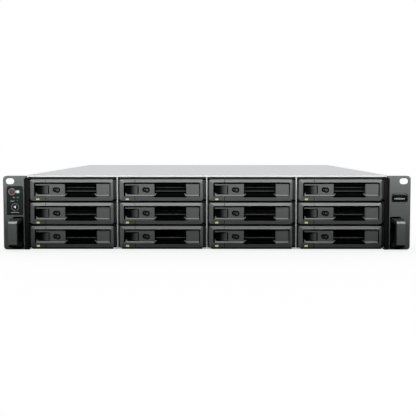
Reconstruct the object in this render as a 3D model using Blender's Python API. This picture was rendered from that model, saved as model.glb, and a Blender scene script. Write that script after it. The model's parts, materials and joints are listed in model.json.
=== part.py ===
"""A twelve-bay, two-unit rack storage server (network attached storage).

Metres. X runs across the front, Y from the front to the back, Z up.
The origin is under the middle of the whole object, on the surface that it stands on.
"""

import math

import bmesh
import bpy
from mathutils import Matrix, Vector

# ---- driving dimensions -------------------------------------------------------------------
EAR_SPAN = 0.482          # across both rack ears
BODY_WIDTH = 0.4305       # across the sheet-metal body
HEIGHT = 0.088            # two rack units, less the usual clearance
BODY_DEPTH = 0.552        # sheet-metal body, front edge to back edge
DEPTH = 0.600             # front of the rack handles to the back of the power supplies' handles
SHEET = 0.0012            # steel sheet
GAP = 0.0003              # between pieces that rest on each other
EPS = 0.001               # how far a cutter runs past a face

HALF_BODY = BODY_WIDTH / 2
HANDLE_FRONT = -DEPTH / 2
PULL_BACK = DEPTH / 2                # back of the power supplies' handles
EAR_FACE = HANDLE_FRONT + 0.020
BODY_FRONT = EAR_FACE + 0.012
REAR = BODY_FRONT + BODY_DEPTH
RACK_PLANE = BODY_FRONT + 0.002      # back of the ears, which bears on the rack's posts
WALL_IN = HALF_BODY - SHEET          # inner face of a side wall
COVER_UNDER = HEIGHT - SHEET
HEM = 0.0010                         # how far the front cover's front edge is folded down

# ---- drive bays ---------------------------------------------------------------------------
COLUMNS = 4
ROWS = 3
PITCH_X = 0.1066
PITCH_Z = 0.0279
BAY_FLOOR = 0.0010                   # bottom of the lowest bezel
BEZEL_FACE = BODY_FRONT - 0.0055
BEZEL_LEFT, BEZEL_RIGHT = -0.0502, 0.0490
BEZEL_HEIGHT, BEZEL_THICK = 0.0267, 0.0048
CARRIER_HALF = 0.0520                # the carrier behind the bezel is wider than it
POCKET_DEPTH = 0.017
POCKET_LEFT, POCKET_RIGHT = -0.0449, 0.0454
POCKET_LOW, POCKET_HIGH = 0.0060, 0.0224
DRIVE_WIDTH, DRIVE_LENGTH = 0.1016, 0.147
DRIVE_START = 0.024                  # behind the bezel's face
DRIVE_LOW, DRIVE_HIGH = 0.0009, 0.0270
DRIVE_END = BEZEL_FACE + DRIVE_START + DRIVE_LENGTH

# ---- lever and latch button of one tray, from the tray's own origin -----------------------
LEVER_FRONT, LEVER_BACK = 0.001, 0.009
LEVER_LOW, LEVER_HIGH = 0.0064, 0.0207
LEVER_LEFT, LEVER_RIGHT = POCKET_LEFT + 0.0011, POCKET_RIGHT - 0.0011
PIVOT_X, PIVOT_Y = LEVER_RIGHT - 0.0085, LEVER_FRONT + 0.003
GRILLE_LEFT, GRILLE_RIGHT = -0.0091, 0.0288
GRILLE_BARS, BAR_THICK = (0.0122, 0.0166), 0.0010    # z of the bars' middles
PLATE_THICK = 0.0022
NOTCH_RIGHT, NOTCH_LOW, NOTCH_HIGH = -0.0276, 0.0083, 0.0191
BUTTON_LEFT, BUTTON_RIGHT = POCKET_LEFT + 0.0016, NOTCH_RIGHT - 0.0008
BUTTON_LOW, BUTTON_HIGH = 0.0089, 0.0185

# ---- inside and rear ----------------------------------------------------------------------
INNER_HALF = 0.2120                  # pieces that span the body between its walls
FLANGE = (WALL_IN - GAP - SHEET, WALL_IN - GAP)    # the rear cover's flanges, inside the walls
BACKPLANE_FACE = BODY_FRONT + 0.174
COVER_SPLIT = BODY_FRONT + 0.220
FAN_WALL_FACE = BACKPLANE_FACE + 0.0335
FAN_SIZE, FAN_BORE, FAN_DEPTH = 0.080, 0.0385, 0.038
FAN_XS = (-0.125, 0.0, 0.125)
FAN_Z = 0.0430
PANEL_FACE = REAR - 0.0015
BOARD_LEFT, BOARD_RIGHT = -0.2050, 0.1320
BOARD_FRONT, BOARD_BACK = FAN_WALL_FACE + FAN_DEPTH + 0.0155, REAR - 0.0035
BOARD_TOP, BOARD_THICK = 0.0078, 0.0016
CPU = (-0.0950, -0.0050, BOARD_FRONT + 0.0500, BOARD_FRONT + 0.1400)    # heatsink x, x, y, y
LAN_XS = (0.045, 0.063, 0.081, 0.099)
USB_X, USB_ZS = 0.022, (BOARD_TOP + 0.0015, BOARD_TOP + 0.0090)
PORTS_LEFT, PORTS_RIGHT, PORTS_TOP = USB_X - 0.0075, LAN_XS[-1] + 0.0085, USB_ZS[1] + 0.0060
PORTS_FACE, PORTS_DEPTH = REAR - 0.0005, 0.0210
PSU_LEFT, PSU_RIGHT = 0.1388, 0.2120
PSU_FRONT, PSU_FACE = REAR - 0.180, REAR - 0.0015
PULL_XS, PULL_HALF, PULL_BAR = (0.1740, 0.2000), 0.0060, 0.0035    # sides, half height, thickness
INLET_XS, INLET_HALF = (0.1430, 0.1675), 0.0095
PSU_LEVELS = {"lower": (0.0018, 0.0418), "upper": (0.0440, 0.0838)}

# ---- rack ears ----------------------------------------------------------------------------
EAR_IN, EAR_OUT = HALF_BODY + GAP, EAR_SPAN / 2
SLOT_X, SLOT_Z = 0.4651 / 2, HEIGHT - 0.00635
SLOT_WIDTH, SLOT_HEIGHT = 0.0103, 0.0066
HANDLE_IN, HANDLE_OUT = 0.2207, 0.2309
HANDLE_FOOT_IN, HANDLE_FOOT_OUT = 0.2183, 0.2334
HANDLE_LOW, HANDLE_HIGH = 0.0020, 0.0391        # at the ear
HANDLE_FACE = (0.0073, 0.0325)                  # z of its upright front face
HANDLE_WINDOW = (0.0097, 0.0327)                # z of the opening, at the bar
HANDLE_ARM, HANDLE_BAR = 0.0043, 0.0060
FASCIA = (-0.2362, 0.0411, -0.2174, 0.0748)     # x, z, x, z of the control fascia
POWER_AT, POWER_RADIUS = (-0.2302, 0.0688), 0.0041
MUTE_AT, MUTE_RADIUS = (-0.2266, 0.0507), 0.0045
BUTTON_CLEAR = 0.0003
LABEL = (0.2179, 0.0559, 0.2371, 0.0655)        # x, z, x, z of the label recess

# ---- colours: (base colour, roughness, metallic) ------------------------------------------
FINISHES = {
    "sheet_steel": ((0.62, 0.63, 0.63), 0.38, 0.9),
    "dark_plastic": ((0.075, 0.082, 0.080), 0.50, 0.0),
    "gloss_black": ((0.010, 0.010, 0.012), 0.18, 0.0),
    "circuit_board": ((0.020, 0.110, 0.050), 0.45, 0.0),
    "heatsink": ((0.72, 0.73, 0.74), 0.35, 1.0),
    "fan_black": ((0.020, 0.020, 0.022), 0.55, 0.0),
    "latch_blue": ((0.050, 0.200, 0.450), 0.45, 0.0),
    "button_grey": ((0.110, 0.110, 0.115), 0.35, 0.0),
}


def start_scene():
    for obj in list(bpy.data.objects):
        bpy.data.objects.remove(obj)
    parts = bpy.data.collections.new("storage_server")
    bpy.context.scene.collection.children.link(parts)
    for name, (colour, roughness, metallic) in FINISHES.items():
        material = bpy.data.materials.new(name)
        material.use_nodes = True
        shader = material.node_tree.nodes["Principled BSDF"]
        shader.inputs["Base Color"].default_value = (*colour, 1.0)
        shader.inputs["Roughness"].default_value = roughness
        shader.inputs["Metallic"].default_value = metallic
    return parts


PARTS = start_scene()


def new_object(name, bm):
    mesh = bpy.data.meshes.new(name)
    bm.to_mesh(mesh)
    bm.free()
    obj = bpy.data.objects.new(name, mesh)
    PARTS.objects.link(obj)
    return obj


def block(low, high, radius=0.0, axis="Y", rounded=None, segments=4):
    """A box between two corners. The edges along axis that pass the test `rounded` get a radius."""
    low, high = Vector(low), Vector(high)
    bm = bmesh.new()
    bmesh.ops.create_cube(bm, size=1.0)
    middle, size = (low + high) / 2, high - low
    bmesh.ops.scale(bm, vec=size, verts=bm.verts)
    bmesh.ops.translate(bm, vec=middle, verts=bm.verts)
    if radius:
        along = Vector([float(letter == axis) for letter in "XYZ"])
        chosen = []
        for edge in bm.edges:
            start, end = (vert.co for vert in edge.verts)
            parallel = abs((end - start).normalized().dot(along)) > 0.99
            if parallel and (rounded is None or rounded((start + end) / 2)):
                chosen.append(edge)
        bmesh.ops.bevel(bm, geom=chosen, offset=radius, segments=segments, affect="EDGES", profile=0.5)
    return new_object("block", bm)


def is_behind(y):
    """A test for block(): the edge lies behind this plane."""
    return lambda middle: middle.y > y


def is_right_of(x):
    """A test for block(): the edge lies to the right of this plane."""
    return lambda middle: middle.x > x


def cylinder(centre, radius, low, high, axis="Y", sides=24):
    """A cylinder round `centre` (its two other coordinates) from low to high along axis."""
    bm = bmesh.new()
    bmesh.ops.create_cone(bm, cap_ends=True, segments=sides, radius1=radius, radius2=radius, depth=high - low)
    middle = (low + high) / 2
    if axis == "Y":
        turn = Matrix.Rotation(math.radians(90), 4, "X")
        place = Vector((centre[0], middle, centre[1]))
    else:
        turn = Matrix.Identity(4)
        place = Vector((centre[0], centre[1], middle))
    bmesh.ops.transform(bm, matrix=Matrix.Translation(place) @ turn, verts=bm.verts)
    return new_object("cylinder", bm)


def prism(outline, low, high, axis="Z"):
    """A closed outline extruded from low to high along axis (Z: x, y points; X: y, z points)."""
    bm = bmesh.new()
    if axis == "Z":
        rings = [[bm.verts.new((a, b, level)) for a, b in outline] for level in (low, high)]
    else:
        rings = [[bm.verts.new((level, a, b)) for a, b in outline] for level in (low, high)]
    count = len(outline)
    bm.faces.new(rings[0])
    bm.faces.new(rings[1])
    for i in range(count):
        j = (i + 1) % count
        bm.faces.new((rings[0][i], rings[0][j], rings[1][j], rings[1][i]))
    bmesh.ops.recalc_face_normals(bm, faces=bm.faces)
    return new_object("prism", bm)


def combine(operation, target, tools):
    """Joins the tools to the target or cuts them from it, one after another, and removes them."""
    for tool in tools:
        modifier = target.modifiers.new(operation.lower(), "BOOLEAN")
        modifier.operation = operation
        modifier.object = tool
    graph = bpy.context.evaluated_depsgraph_get()
    finished = bpy.data.meshes.new_from_object(target.evaluated_get(graph))
    target.modifiers.clear()
    target.data = finished
    for tool in tools:
        bpy.data.objects.remove(tool)
    return target


def join(target, *tools):
    return combine("UNION", target, tools)


def cut(target, *tools):
    return combine("DIFFERENCE", target, tools)


def name_part(obj, name, finish, origin=None):
    """Gives a finished solid its name and finish, and moves its origin without moving the shape."""
    obj.name = name
    obj.data.name = name
    obj.data.materials.clear()
    obj.data.materials.append(bpy.data.materials[finish])
    if origin is not None:
        obj.data.transform(Matrix.Translation(-Vector(origin)))
        obj.location = origin
    return obj


def mirrored(obj):
    """A copy of the object on the other side of X = 0."""
    copy = obj.copy()
    copy.data = obj.data.copy()
    PARTS.objects.link(copy)
    bm = bmesh.new()
    bm.from_mesh(copy.data)
    bmesh.ops.scale(bm, vec=(-1.0, 1.0, 1.0), verts=bm.verts)
    bmesh.ops.reverse_faces(bm, faces=bm.faces)
    bm.to_mesh(copy.data)
    bm.free()
    return copy


# ---- sheet-metal body ---------------------------------------------------------------------
def make_tub():
    """Floor and both side walls, folded from one sheet."""
    floor = block((-HALF_BODY, BODY_FRONT + GAP, 0), (HALF_BODY, REAR, SHEET))
    walls = [
        block((x, BODY_FRONT + GAP, SHEET / 2), (x + SHEET, REAR, COVER_UNDER - GAP))
        for x in (-HALF_BODY, WALL_IN)
    ]
    name_part(join(floor, *walls), "chassis_tub", "sheet_steel")


def make_covers():
    front = block((-HALF_BODY, BODY_FRONT, COVER_UNDER), (HALF_BODY, COVER_SPLIT, HEIGHT))
    hem_low = COVER_UNDER - HEM
    hem = block((GAP - WALL_IN, BODY_FRONT, hem_low), (WALL_IN - GAP, BODY_FRONT + SHEET, HEIGHT - GAP))
    name_part(join(front, hem), "front_cover", "sheet_steel")
    rear = block((-HALF_BODY, COVER_SPLIT + 2 * GAP, COVER_UNDER), (HALF_BODY, REAR, HEIGHT))
    inner, outer = FLANGE
    flanges = [
        block((low, COVER_SPLIT + 0.012, 0.0785), (high, REAR - 0.004, COVER_UNDER + SHEET / 2))
        for low, high in ((-outer, -inner), (inner, outer))
    ]
    name_part(join(rear, *flanges), "rear_cover", "sheet_steel")


def make_cage():
    """Five upright sheets under one top sheet, with a ledge under each side of each tray."""
    start, end = BODY_FRONT - 0.0005, BACKPLANE_FACE - 0.0020
    ledge_start = BEZEL_FACE + 0.0205
    top = block((-2 * PITCH_X - 0.0005, BODY_FRONT + 0.010, 0.0842), (2 * PITCH_X + 0.0005, end, 0.0852))
    uprights, ledges, strips = [], [], []
    for i in range(COLUMNS + 1):
        x = (i - COLUMNS / 2) * PITCH_X
        uprights.append(block((x - SHEET / 2, start, 0.0015), (x + SHEET / 2, end, 0.0850)))
        sides = [side for side in (-1, 1) if abs(x + side * PITCH_X / 2) < 2 * PITCH_X]
        for side in sides:
            for row in range(ROWS):
                z = BAY_FLOOR + row * PITCH_Z + 0.0039
                reach = x + side * 0.0021
                low, high = (min(x, reach), ledge_start, z), (max(x, reach), end, z + 0.0008)
                ledges.append(block(low, high))
        if 0 < i < COLUMNS:
            strip_front, half = BODY_FRONT - 0.0018, 0.0008
            strips.append(block((x - half, strip_front, 0.0004), (x + half, start + 0.0004, 0.0865)))
    name_part(join(top, *uprights, *strips, *ledges), "drive_cage", "sheet_steel")


# ---- one drive tray, its lever and its latch button ---------------------------------------
def tray_mesh():
    """Bezel with the lever's pocket and hinge pin, side rails, and the disk drive between them."""
    face = block((BEZEL_LEFT, 0, 0), (BEZEL_RIGHT, BEZEL_THICK, BEZEL_HEIGHT), 0.0010, segments=2)
    body = block(
        (-CARRIER_HALF, BEZEL_THICK - EPS, 0.0022), (CARRIER_HALF, POCKET_DEPTH + 0.002, 0.0255)
    )
    rail_out, rail_in = 0.0523, 0.0504
    rails = [
        block((low, BEZEL_THICK + EPS, 0.0050), (high, DRIVE_START + DRIVE_LENGTH - 0.004, 0.0220))
        for low, high in ((-rail_out, -rail_in), (rail_in, rail_out))
    ]
    drive = block(
        (-DRIVE_WIDTH / 2, DRIVE_START, DRIVE_LOW), (DRIVE_WIDTH / 2, DRIVE_START + DRIVE_LENGTH, DRIVE_HIGH)
    )
    tray = join(face, body, *rails, drive)
    pocket = block(
        (POCKET_LEFT, -EPS, POCKET_LOW), (POCKET_RIGHT, POCKET_DEPTH, POCKET_HIGH), 0.0009, segments=2
    )
    vent = block((GRILLE_LEFT, POCKET_DEPTH - EPS, 0.0085), (GRILLE_RIGHT, DRIVE_START - EPS, 0.0195))
    stem_hole = block((-0.0415, POCKET_DEPTH - EPS, 0.0105), (-0.0345, DRIVE_START - EPS, 0.0168))
    cut(tray, pocket, vent, stem_hole)
    pin = cylinder((PIVOT_X, PIVOT_Y), 0.0011, POCKET_LOW - 0.0005, POCKET_HIGH + 0.0005, "Z", 10)
    return join(tray, pin)


def lever_mesh():
    """Pull lever: bars between the end block on the pivot and the plate round the button, open below them."""
    plate = block((LEVER_LEFT, LEVER_FRONT, LEVER_LOW), (GRILLE_LEFT, LEVER_FRONT + PLATE_THICK, LEVER_HIGH))
    web = block((GRILLE_LEFT - 0.002, LEVER_FRONT + EPS, LEVER_LOW), (GRILLE_LEFT, 0.0058, LEVER_HIGH))
    grille_low = GRILLE_BARS[0] - BAR_THICK / 2
    grille = block((GRILLE_LEFT - 0.0005, 0.0040, grille_low), (GRILLE_RIGHT + 0.0005, 0.0058, LEVER_HIGH))
    front_right = block(
        (GRILLE_RIGHT, LEVER_FRONT, LEVER_LOW), (LEVER_RIGHT, LEVER_BACK, LEVER_HIGH),
        0.0005, "Z", is_right_of(GRILLE_RIGHT + EPS), 1,
    )
    lever = join(plate, web, grille, front_right)
    slot_left, slot_right = GRILLE_LEFT + 0.0008, GRILLE_RIGHT - 0.0008
    middles = (*GRILLE_BARS, LEVER_HIGH - BAR_THICK / 2)
    cutters = []
    for below, above in zip(middles, middles[1:]):
        low, high = below + BAR_THICK / 2, above - BAR_THICK / 2
        cutters.append(block((slot_left, 0.003, low), (slot_right, 0.007, high)))
    cutters.append(block((LEVER_LEFT - EPS, -EPS, NOTCH_LOW), (NOTCH_RIGHT, 0.005, NOTCH_HIGH)))
    cutters.append(cylinder((PIVOT_X, PIVOT_Y), 0.0015, LEVER_LOW - EPS, LEVER_HIGH + EPS, "Z", 10))
    return cut(lever, *cutters)


def button_mesh():
    """Latch button with a face that slopes in towards its left edge, and a stem through the pocket's wall."""
    outline = (
        (BUTTON_LEFT, 0.0045), (BUTTON_LEFT + 0.005, 0.0026), (BUTTON_RIGHT, 0.0012),
        (BUTTON_RIGHT, 0.0075), (BUTTON_LEFT, 0.0075),
    )
    head = prism(outline, BUTTON_LOW, BUTTON_HIGH)
    stem = block((-0.0410, 0.0070, 0.0110), (-0.0350, DRIVE_START - 0.0030, 0.0163))
    return join(head, stem)


def make_trays():
    """Twelve copies of the tray, lever and button. Row 1 is at the top and column 1 at the left."""
    masters = {
        "tray": (name_part(tray_mesh(), "tray", "dark_plastic"), (0, 0, 0)),
        "lever": (name_part(lever_mesh(), "lever", "dark_plastic"), (PIVOT_X, PIVOT_Y, 0)),
        "latch_button": (name_part(button_mesh(), "latch_button", "gloss_black"), (0, 0, 0)),
    }
    for kind, (master, origin) in masters.items():
        master.data.transform(Matrix.Translation(-Vector(origin)))
        for row in range(ROWS):
            for column in range(COLUMNS):
                x = (column - (COLUMNS - 1) / 2) * PITCH_X
                z = BAY_FLOOR + (ROWS - 1 - row) * PITCH_Z
                copy = bpy.data.objects.new(f"{kind}_r{row + 1}c{column + 1}", master.data)
                copy.location = Vector((x, BEZEL_FACE, z)) + Vector(origin)
                PARTS.objects.link(copy)
        bpy.data.objects.remove(master)


# ---- rack ears, handles and the controls on the left ear ----------------------------------
def ear_solid():
    """The right ear: a moulded front, a rack flange and a leg along the side wall."""
    outer_edge = is_right_of(EAR_IN + EPS)
    front = block((EAR_IN, EAR_FACE, 0), (EAR_OUT, RACK_PLANE, HEIGHT), 0.0035, "Y", outer_edge)
    leg = block((EAR_IN, RACK_PLANE - 0.002, 0.006), (EAR_IN + 0.0016, BODY_FRONT + 0.068, 0.082))
    ear = join(front, leg)
    slot = block(
        (SLOT_X - SLOT_WIDTH / 2, EAR_FACE - EPS, SLOT_Z - SLOT_HEIGHT / 2),
        (SLOT_X + SLOT_WIDTH / 2, RACK_PLANE + EPS, SLOT_Z + SLOT_HEIGHT / 2),
        SLOT_HEIGHT / 2 - 0.00002, "Y", None, 5,
    )
    fingers = block((0.2175, EAR_FACE - EPS, 0.0095), (0.2295, EAR_FACE + 0.009, 0.0340))
    return cut(ear, slot, fingers)


def make_ears():
    right = ear_solid()
    left = mirrored(right)
    x0, z0, x1, z1 = LABEL
    label = block((x0, EAR_FACE - EPS, z0), (x1, EAR_FACE + 0.001, z1), 0.001, segments=2)
    name_part(cut(right, label), "right_ear", "dark_plastic")
    x0, z0, x1, z1 = FASCIA
    seat = block((x0 - GAP, EAR_FACE - EPS, z0 - GAP), (x1 + GAP, EAR_FACE + 0.0015, z1 + GAP))
    bores = [
        cylinder(at, radius + BUTTON_CLEAR, EAR_FACE - EPS, EAR_FACE + 0.0100)
        for at, radius in ((POWER_AT, POWER_RADIUS), (MUTE_AT, MUTE_RADIUS))
    ]
    name_part(cut(left, seat, *bores), "left_ear", "dark_plastic")


def make_controls():
    x0, z0, x1, z1 = FASCIA
    fascia = block((x0, EAR_FACE + 0.0002, z0), (x1, EAR_FACE + 0.0012, z1), 0.0012, segments=2)
    holes, buttons = [], []
    for name, at, radius in (("power_button", POWER_AT, POWER_RADIUS), ("mute_button", MUTE_AT, MUTE_RADIUS)):
        holes.append(cylinder(at, radius + BUTTON_CLEAR, EAR_FACE - EPS, EAR_FACE + 0.0030))
        button = cylinder(at, radius, EAR_FACE - 0.0004, EAR_FACE + 0.0080)
        buttons.append(name_part(button, name, "button_grey", (at[0], EAR_FACE, at[1])))
    name_part(cut(fascia, *holes), "control_fascia", "gloss_black")


def make_handles():
    """A bar on two arms that spread towards the ear: what its plan and its side view have in common."""
    foot, bar_back = EAR_FACE - GAP, HANDLE_FRONT + HANDLE_BAR
    plan = (
        (HANDLE_FOOT_IN, foot), (HANDLE_IN, HANDLE_FRONT + 0.001), (HANDLE_IN + 0.001, HANDLE_FRONT),
        (HANDLE_OUT - 0.001, HANDLE_FRONT), (HANDLE_OUT, HANDLE_FRONT + 0.001), (HANDLE_FOOT_OUT, foot),
    )
    face_low, face_high = HANDLE_FACE
    window_low, window_high = HANDLE_WINDOW
    side_view = (
        (foot, HANDLE_LOW), (HANDLE_FRONT + 0.0026, face_low - 0.0024), (HANDLE_FRONT, face_low),
        (HANDLE_FRONT, face_high), (HANDLE_FRONT + 0.0032, face_high + 0.0031), (foot, HANDLE_HIGH),
        (foot, HANDLE_HIGH - HANDLE_ARM), (bar_back, window_high),
        (bar_back, window_low), (foot, HANDLE_LOW + HANDLE_ARM),
    )
    right = prism(plan, HANDLE_LOW - EPS, HANDLE_HIGH + EPS)
    combine("INTERSECT", right, [prism(side_view, HANDLE_FOOT_IN - EPS, HANDLE_FOOT_OUT + EPS, "X")])
    left = mirrored(right)
    name_part(right, "right_handle", "dark_plastic")
    name_part(left, "left_handle", "dark_plastic")


# ---- inside: backplane, fans, main board ---------------------------------------------------
def make_backplane():
    board = block((-INNER_HALF, BACKPLANE_FACE, 0.0015), (INNER_HALF, BACKPLANE_FACE + 0.0016, 0.0840))
    sockets, vents = [], []
    for row in range(ROWS):
        for column in range(COLUMNS):
            x = (column - (COLUMNS - 1) / 2) * PITCH_X
            z = BAY_FLOOR + row * PITCH_Z
            sockets.append(block(
                (x - 0.038, DRIVE_END + GAP, z + 0.003), (x + 0.006, BACKPLANE_FACE + EPS, z + 0.008)
            ))
            vents.append(block(
                (x - 0.042, BACKPLANE_FACE - EPS, z + 0.0120), (x + 0.042, BACKPLANE_FACE + 0.003, z + 0.0220)
            ))
    name_part(cut(join(board, *sockets), *vents), "drive_backplane", "circuit_board")


def make_fans():
    """A wall across the body that holds three 80 mm fan frames, and a rotor in each."""
    wall = block((-INNER_HALF, FAN_WALL_FACE, 0.0015), (INNER_HALF, FAN_WALL_FACE + SHEET, 0.0840))
    start, end = FAN_WALL_FACE + SHEET / 2, FAN_WALL_FACE + FAN_DEPTH
    frames, bores, motors = [], [], []
    for x in FAN_XS:
        low, high = FAN_Z - FAN_SIZE / 2, FAN_Z + FAN_SIZE / 2
        frames.append(block((x - FAN_SIZE / 2, start, low), (x + FAN_SIZE / 2, end, high), 0.004, segments=2))
        bores.append(cylinder((x, FAN_Z), FAN_BORE, FAN_WALL_FACE - EPS, end + EPS, sides=32))
        motors.append(cylinder((x, FAN_Z), 0.017, end - 0.004, end, sides=20))
        reach, half = FAN_BORE + EPS / 2, 0.002
        motors.append(block((x - reach, end - 0.003, FAN_Z - half), (x + reach, end, FAN_Z + half)))
        motors.append(block((x - half, end - 0.003, FAN_Z - reach), (x + half, end, FAN_Z + reach)))
    name_part(join(cut(join(wall, *frames), *bores), *motors), "fan_wall", "sheet_steel")
    rotor = rotor_mesh()
    for i, x in enumerate(FAN_XS):
        copy = bpy.data.objects.new(f"fan_rotor_{i + 1}", rotor.data)
        copy.location = (x, FAN_WALL_FACE + 0.004, FAN_Z)
        PARTS.objects.link(copy)
    bpy.data.objects.remove(rotor)


def rotor_mesh():
    """Hub and seven pitched blades, centred on its own axis, which runs along Y."""
    blades, hub_radius, tip, length, pitch = 7, 0.0165, 0.0368, 0.028, math.radians(38)
    rotor = cylinder((0, 0), hub_radius, 0, length, sides=20)
    made = []
    for i in range(blades):
        blade = block((hub_radius - 0.002, 0.0035, -0.0006), (tip, length - 0.002, 0.0006))
        middle = Vector((0, length / 2, 0))
        tilt = Matrix.Translation(middle) @ Matrix.Rotation(pitch, 4, "X") @ Matrix.Translation(-middle)
        spin = Matrix.Rotation(i * math.tau / blades, 4, "Y")
        blade.data.transform(spin @ tilt)
        made.append(blade)
    return name_part(join(rotor, *made), "rotor", "fan_black")


def make_main_board():
    """Board on standoffs, with the processor's socket and four memory sockets, one of them filled."""
    top, sunk = BOARD_TOP, BOARD_TOP - 0.0005
    board = block((BOARD_LEFT, BOARD_FRONT, top - BOARD_THICK), (BOARD_RIGHT, BOARD_BACK, top))
    x0, x1, y0, y1 = CPU
    added = [block((x0 + 0.010, y0 + 0.005, sunk), (x1 - 0.010, y1 - 0.005, top + 0.0040))]
    for x in (BOARD_LEFT + 0.008, BOARD_RIGHT - 0.008):
        for y in (BOARD_FRONT + 0.010, (BOARD_FRONT + BOARD_BACK) / 2, BOARD_BACK - 0.030):
            added.append(cylinder((x, y), 0.003, SHEET + GAP, sunk, "Z", 8))
    start, end = BOARD_FRONT + 0.0200, BOARD_FRONT + 0.1650
    for i in range(4):
        x = 0.020 + 0.0085 * i
        added.append(block((x, start, sunk), (x + 0.0065, end, top + 0.0060)))
    added.append(block((0.0220, start + 0.0060, top + 0.0050), (0.0245, end - 0.0057, top + 0.0363)))
    name_part(join(board, *added), "main_board", "circuit_board")


def make_heatsink():
    x0, x1, y0, y1 = CPU
    low = BOARD_TOP + 0.0040 + GAP
    base = block((x0, y0, low), (x1, y1, low + 0.005))
    fins, fin, fin_top = 15, 0.0016, 0.0700
    step = (x1 - x0 - fin) / (fins - 1)
    made = [block((x0 + i * step, y0, low + 0.004), (x0 + i * step + fin, y1, fin_top)) for i in range(fins)]
    name_part(join(base, *made), "cpu_heatsink", "heatsink")


def make_ports():
    """One housing on the board's back edge with four network sockets and two USB sockets in it."""
    housing = block(
        (PORTS_LEFT, PORTS_FACE - PORTS_DEPTH, BOARD_TOP + GAP), (PORTS_RIGHT, PORTS_FACE, PORTS_TOP)
    )
    behind = PORTS_FACE + EPS
    sockets = []
    for x in LAN_XS:
        low, high = BOARD_TOP + 0.0030, BOARD_TOP + 0.0115
        sockets.append(block((x - 0.0060, PORTS_FACE - 0.0170, low), (x + 0.0060, behind, high)))
    for z in USB_ZS:
        sockets.append(block((USB_X - 0.0065, PORTS_FACE - 0.0150, z), (USB_X + 0.0065, behind, z + 0.0052)))
    name_part(cut(housing, *sockets), "port_block", "sheet_steel")


# ---- rear: panel and power supplies --------------------------------------------------------
def make_rear_panel():
    """Panel with vents and a window for the ports, the power bay's wall and its shelf."""
    panel = block((GAP - FLANGE[0], PANEL_FACE, 0.0015), (PSU_LEFT - 0.0006, REAR - GAP, 0.0862))
    wall = block((PSU_LEFT - 0.0018, PSU_FRONT - 0.006, 0.0015), (PSU_LEFT - 0.0006, REAR - GAP, 0.0862))
    shelf = block((PSU_LEFT - 0.0012, PSU_FRONT, 0.0424), (PSU_RIGHT + 0.0006, REAR - 0.002, 0.0434))
    panel = join(panel, wall, shelf)
    low, high = PANEL_FACE - EPS, REAR + EPS
    clear = 0.0005
    cutters = [block(
        (PORTS_LEFT - clear, low, BOARD_TOP + GAP - clear), (PORTS_RIGHT + clear, high, PORTS_TOP + clear)
    )]
    slot, rib, rows = 0.0035, 0.0035, 6
    for field_left, field_right in ((-0.200, -0.110), (0.005, 0.125)):
        for i in range(rows):
            z = 0.0385 + i * (slot + rib)
            cutters.append(block((field_left, low, z), (field_right, high, z + slot)))
    name_part(cut(panel, *cutters), "rear_panel", "sheet_steel")


def make_power_supplies():
    """Two plug-in power supplies, each with a mains inlet, a pull handle and a sliding latch."""
    for level, (low, high) in PSU_LEVELS.items():
        middle = (low + high) / 2
        case = block((PSU_LEFT, PSU_FRONT, low), (PSU_RIGHT, PSU_FACE, high))
        left, right = PULL_XS
        bottom, top = middle - PULL_HALF, middle + PULL_HALF
        pull = block(
            (left, PSU_FACE - EPS, bottom), (right, PULL_BACK, top), 0.004, "Z", is_behind(PSU_FACE), 3
        )
        fingers = block(
            (left + PULL_BAR, PSU_FACE, bottom - EPS), (right - PULL_BAR, PULL_BACK - PULL_BAR, top + EPS)
        )
        bottom, top = middle - INLET_HALF, middle + INLET_HALF
        inlet = block((INLET_XS[0], PSU_FACE - 0.0160, bottom), (INLET_XS[1], PSU_FACE + EPS, top))
        name_part(cut(join(case, pull), fingers, inlet), f"psu_{level}", "sheet_steel")
        bottom, top = middle - 0.0065, middle + 0.0065
        latch = block((0.2045, PSU_FACE + GAP, bottom), (0.2090, PSU_FACE + 0.0100, top))
        name_part(latch, f"psu_latch_{level}", "latch_blue")


make_tub()
make_covers()
make_cage()
make_trays()
make_ears()
make_controls()
make_handles()
make_backplane()
make_fans()
make_main_board()
make_heatsink()
make_ports()
make_rear_panel()
make_power_supplies()
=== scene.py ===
"""Looks for the twelve-bay rack storage server. Metres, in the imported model's frame."""

import json
import math

import bmesh
import bpy
from mathutils import Matrix, Vector

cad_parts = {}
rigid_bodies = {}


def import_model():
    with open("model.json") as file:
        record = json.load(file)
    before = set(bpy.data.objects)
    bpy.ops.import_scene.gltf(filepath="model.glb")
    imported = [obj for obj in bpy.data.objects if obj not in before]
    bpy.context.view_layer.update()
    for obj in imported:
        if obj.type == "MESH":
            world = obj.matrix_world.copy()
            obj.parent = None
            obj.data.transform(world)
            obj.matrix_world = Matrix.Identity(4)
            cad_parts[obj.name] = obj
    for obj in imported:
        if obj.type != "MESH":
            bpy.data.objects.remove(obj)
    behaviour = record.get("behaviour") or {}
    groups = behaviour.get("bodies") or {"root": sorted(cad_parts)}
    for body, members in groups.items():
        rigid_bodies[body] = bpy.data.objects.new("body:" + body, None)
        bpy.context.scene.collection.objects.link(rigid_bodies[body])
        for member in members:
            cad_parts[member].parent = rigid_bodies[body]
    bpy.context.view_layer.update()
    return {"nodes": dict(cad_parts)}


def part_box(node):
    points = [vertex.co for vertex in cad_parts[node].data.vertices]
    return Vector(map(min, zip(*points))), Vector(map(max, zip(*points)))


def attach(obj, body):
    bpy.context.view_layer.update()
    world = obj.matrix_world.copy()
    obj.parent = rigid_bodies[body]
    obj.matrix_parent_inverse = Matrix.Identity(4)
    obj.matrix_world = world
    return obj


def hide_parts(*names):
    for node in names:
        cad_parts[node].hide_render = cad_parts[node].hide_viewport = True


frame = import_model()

# ---- places read from the frame -----------------------------------------------------------
ROWS, COLUMNS = 3, 4
BAYS = [f"r{row}c{column}" for row in range(1, ROWS + 1) for column in range(1, COLUMNS + 1)]
EAR_LOW, EAR_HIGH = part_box("right_ear")
EAR_FACE = EAR_LOW.y
COVER_LOW, COVER_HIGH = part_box("front_cover")
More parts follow.
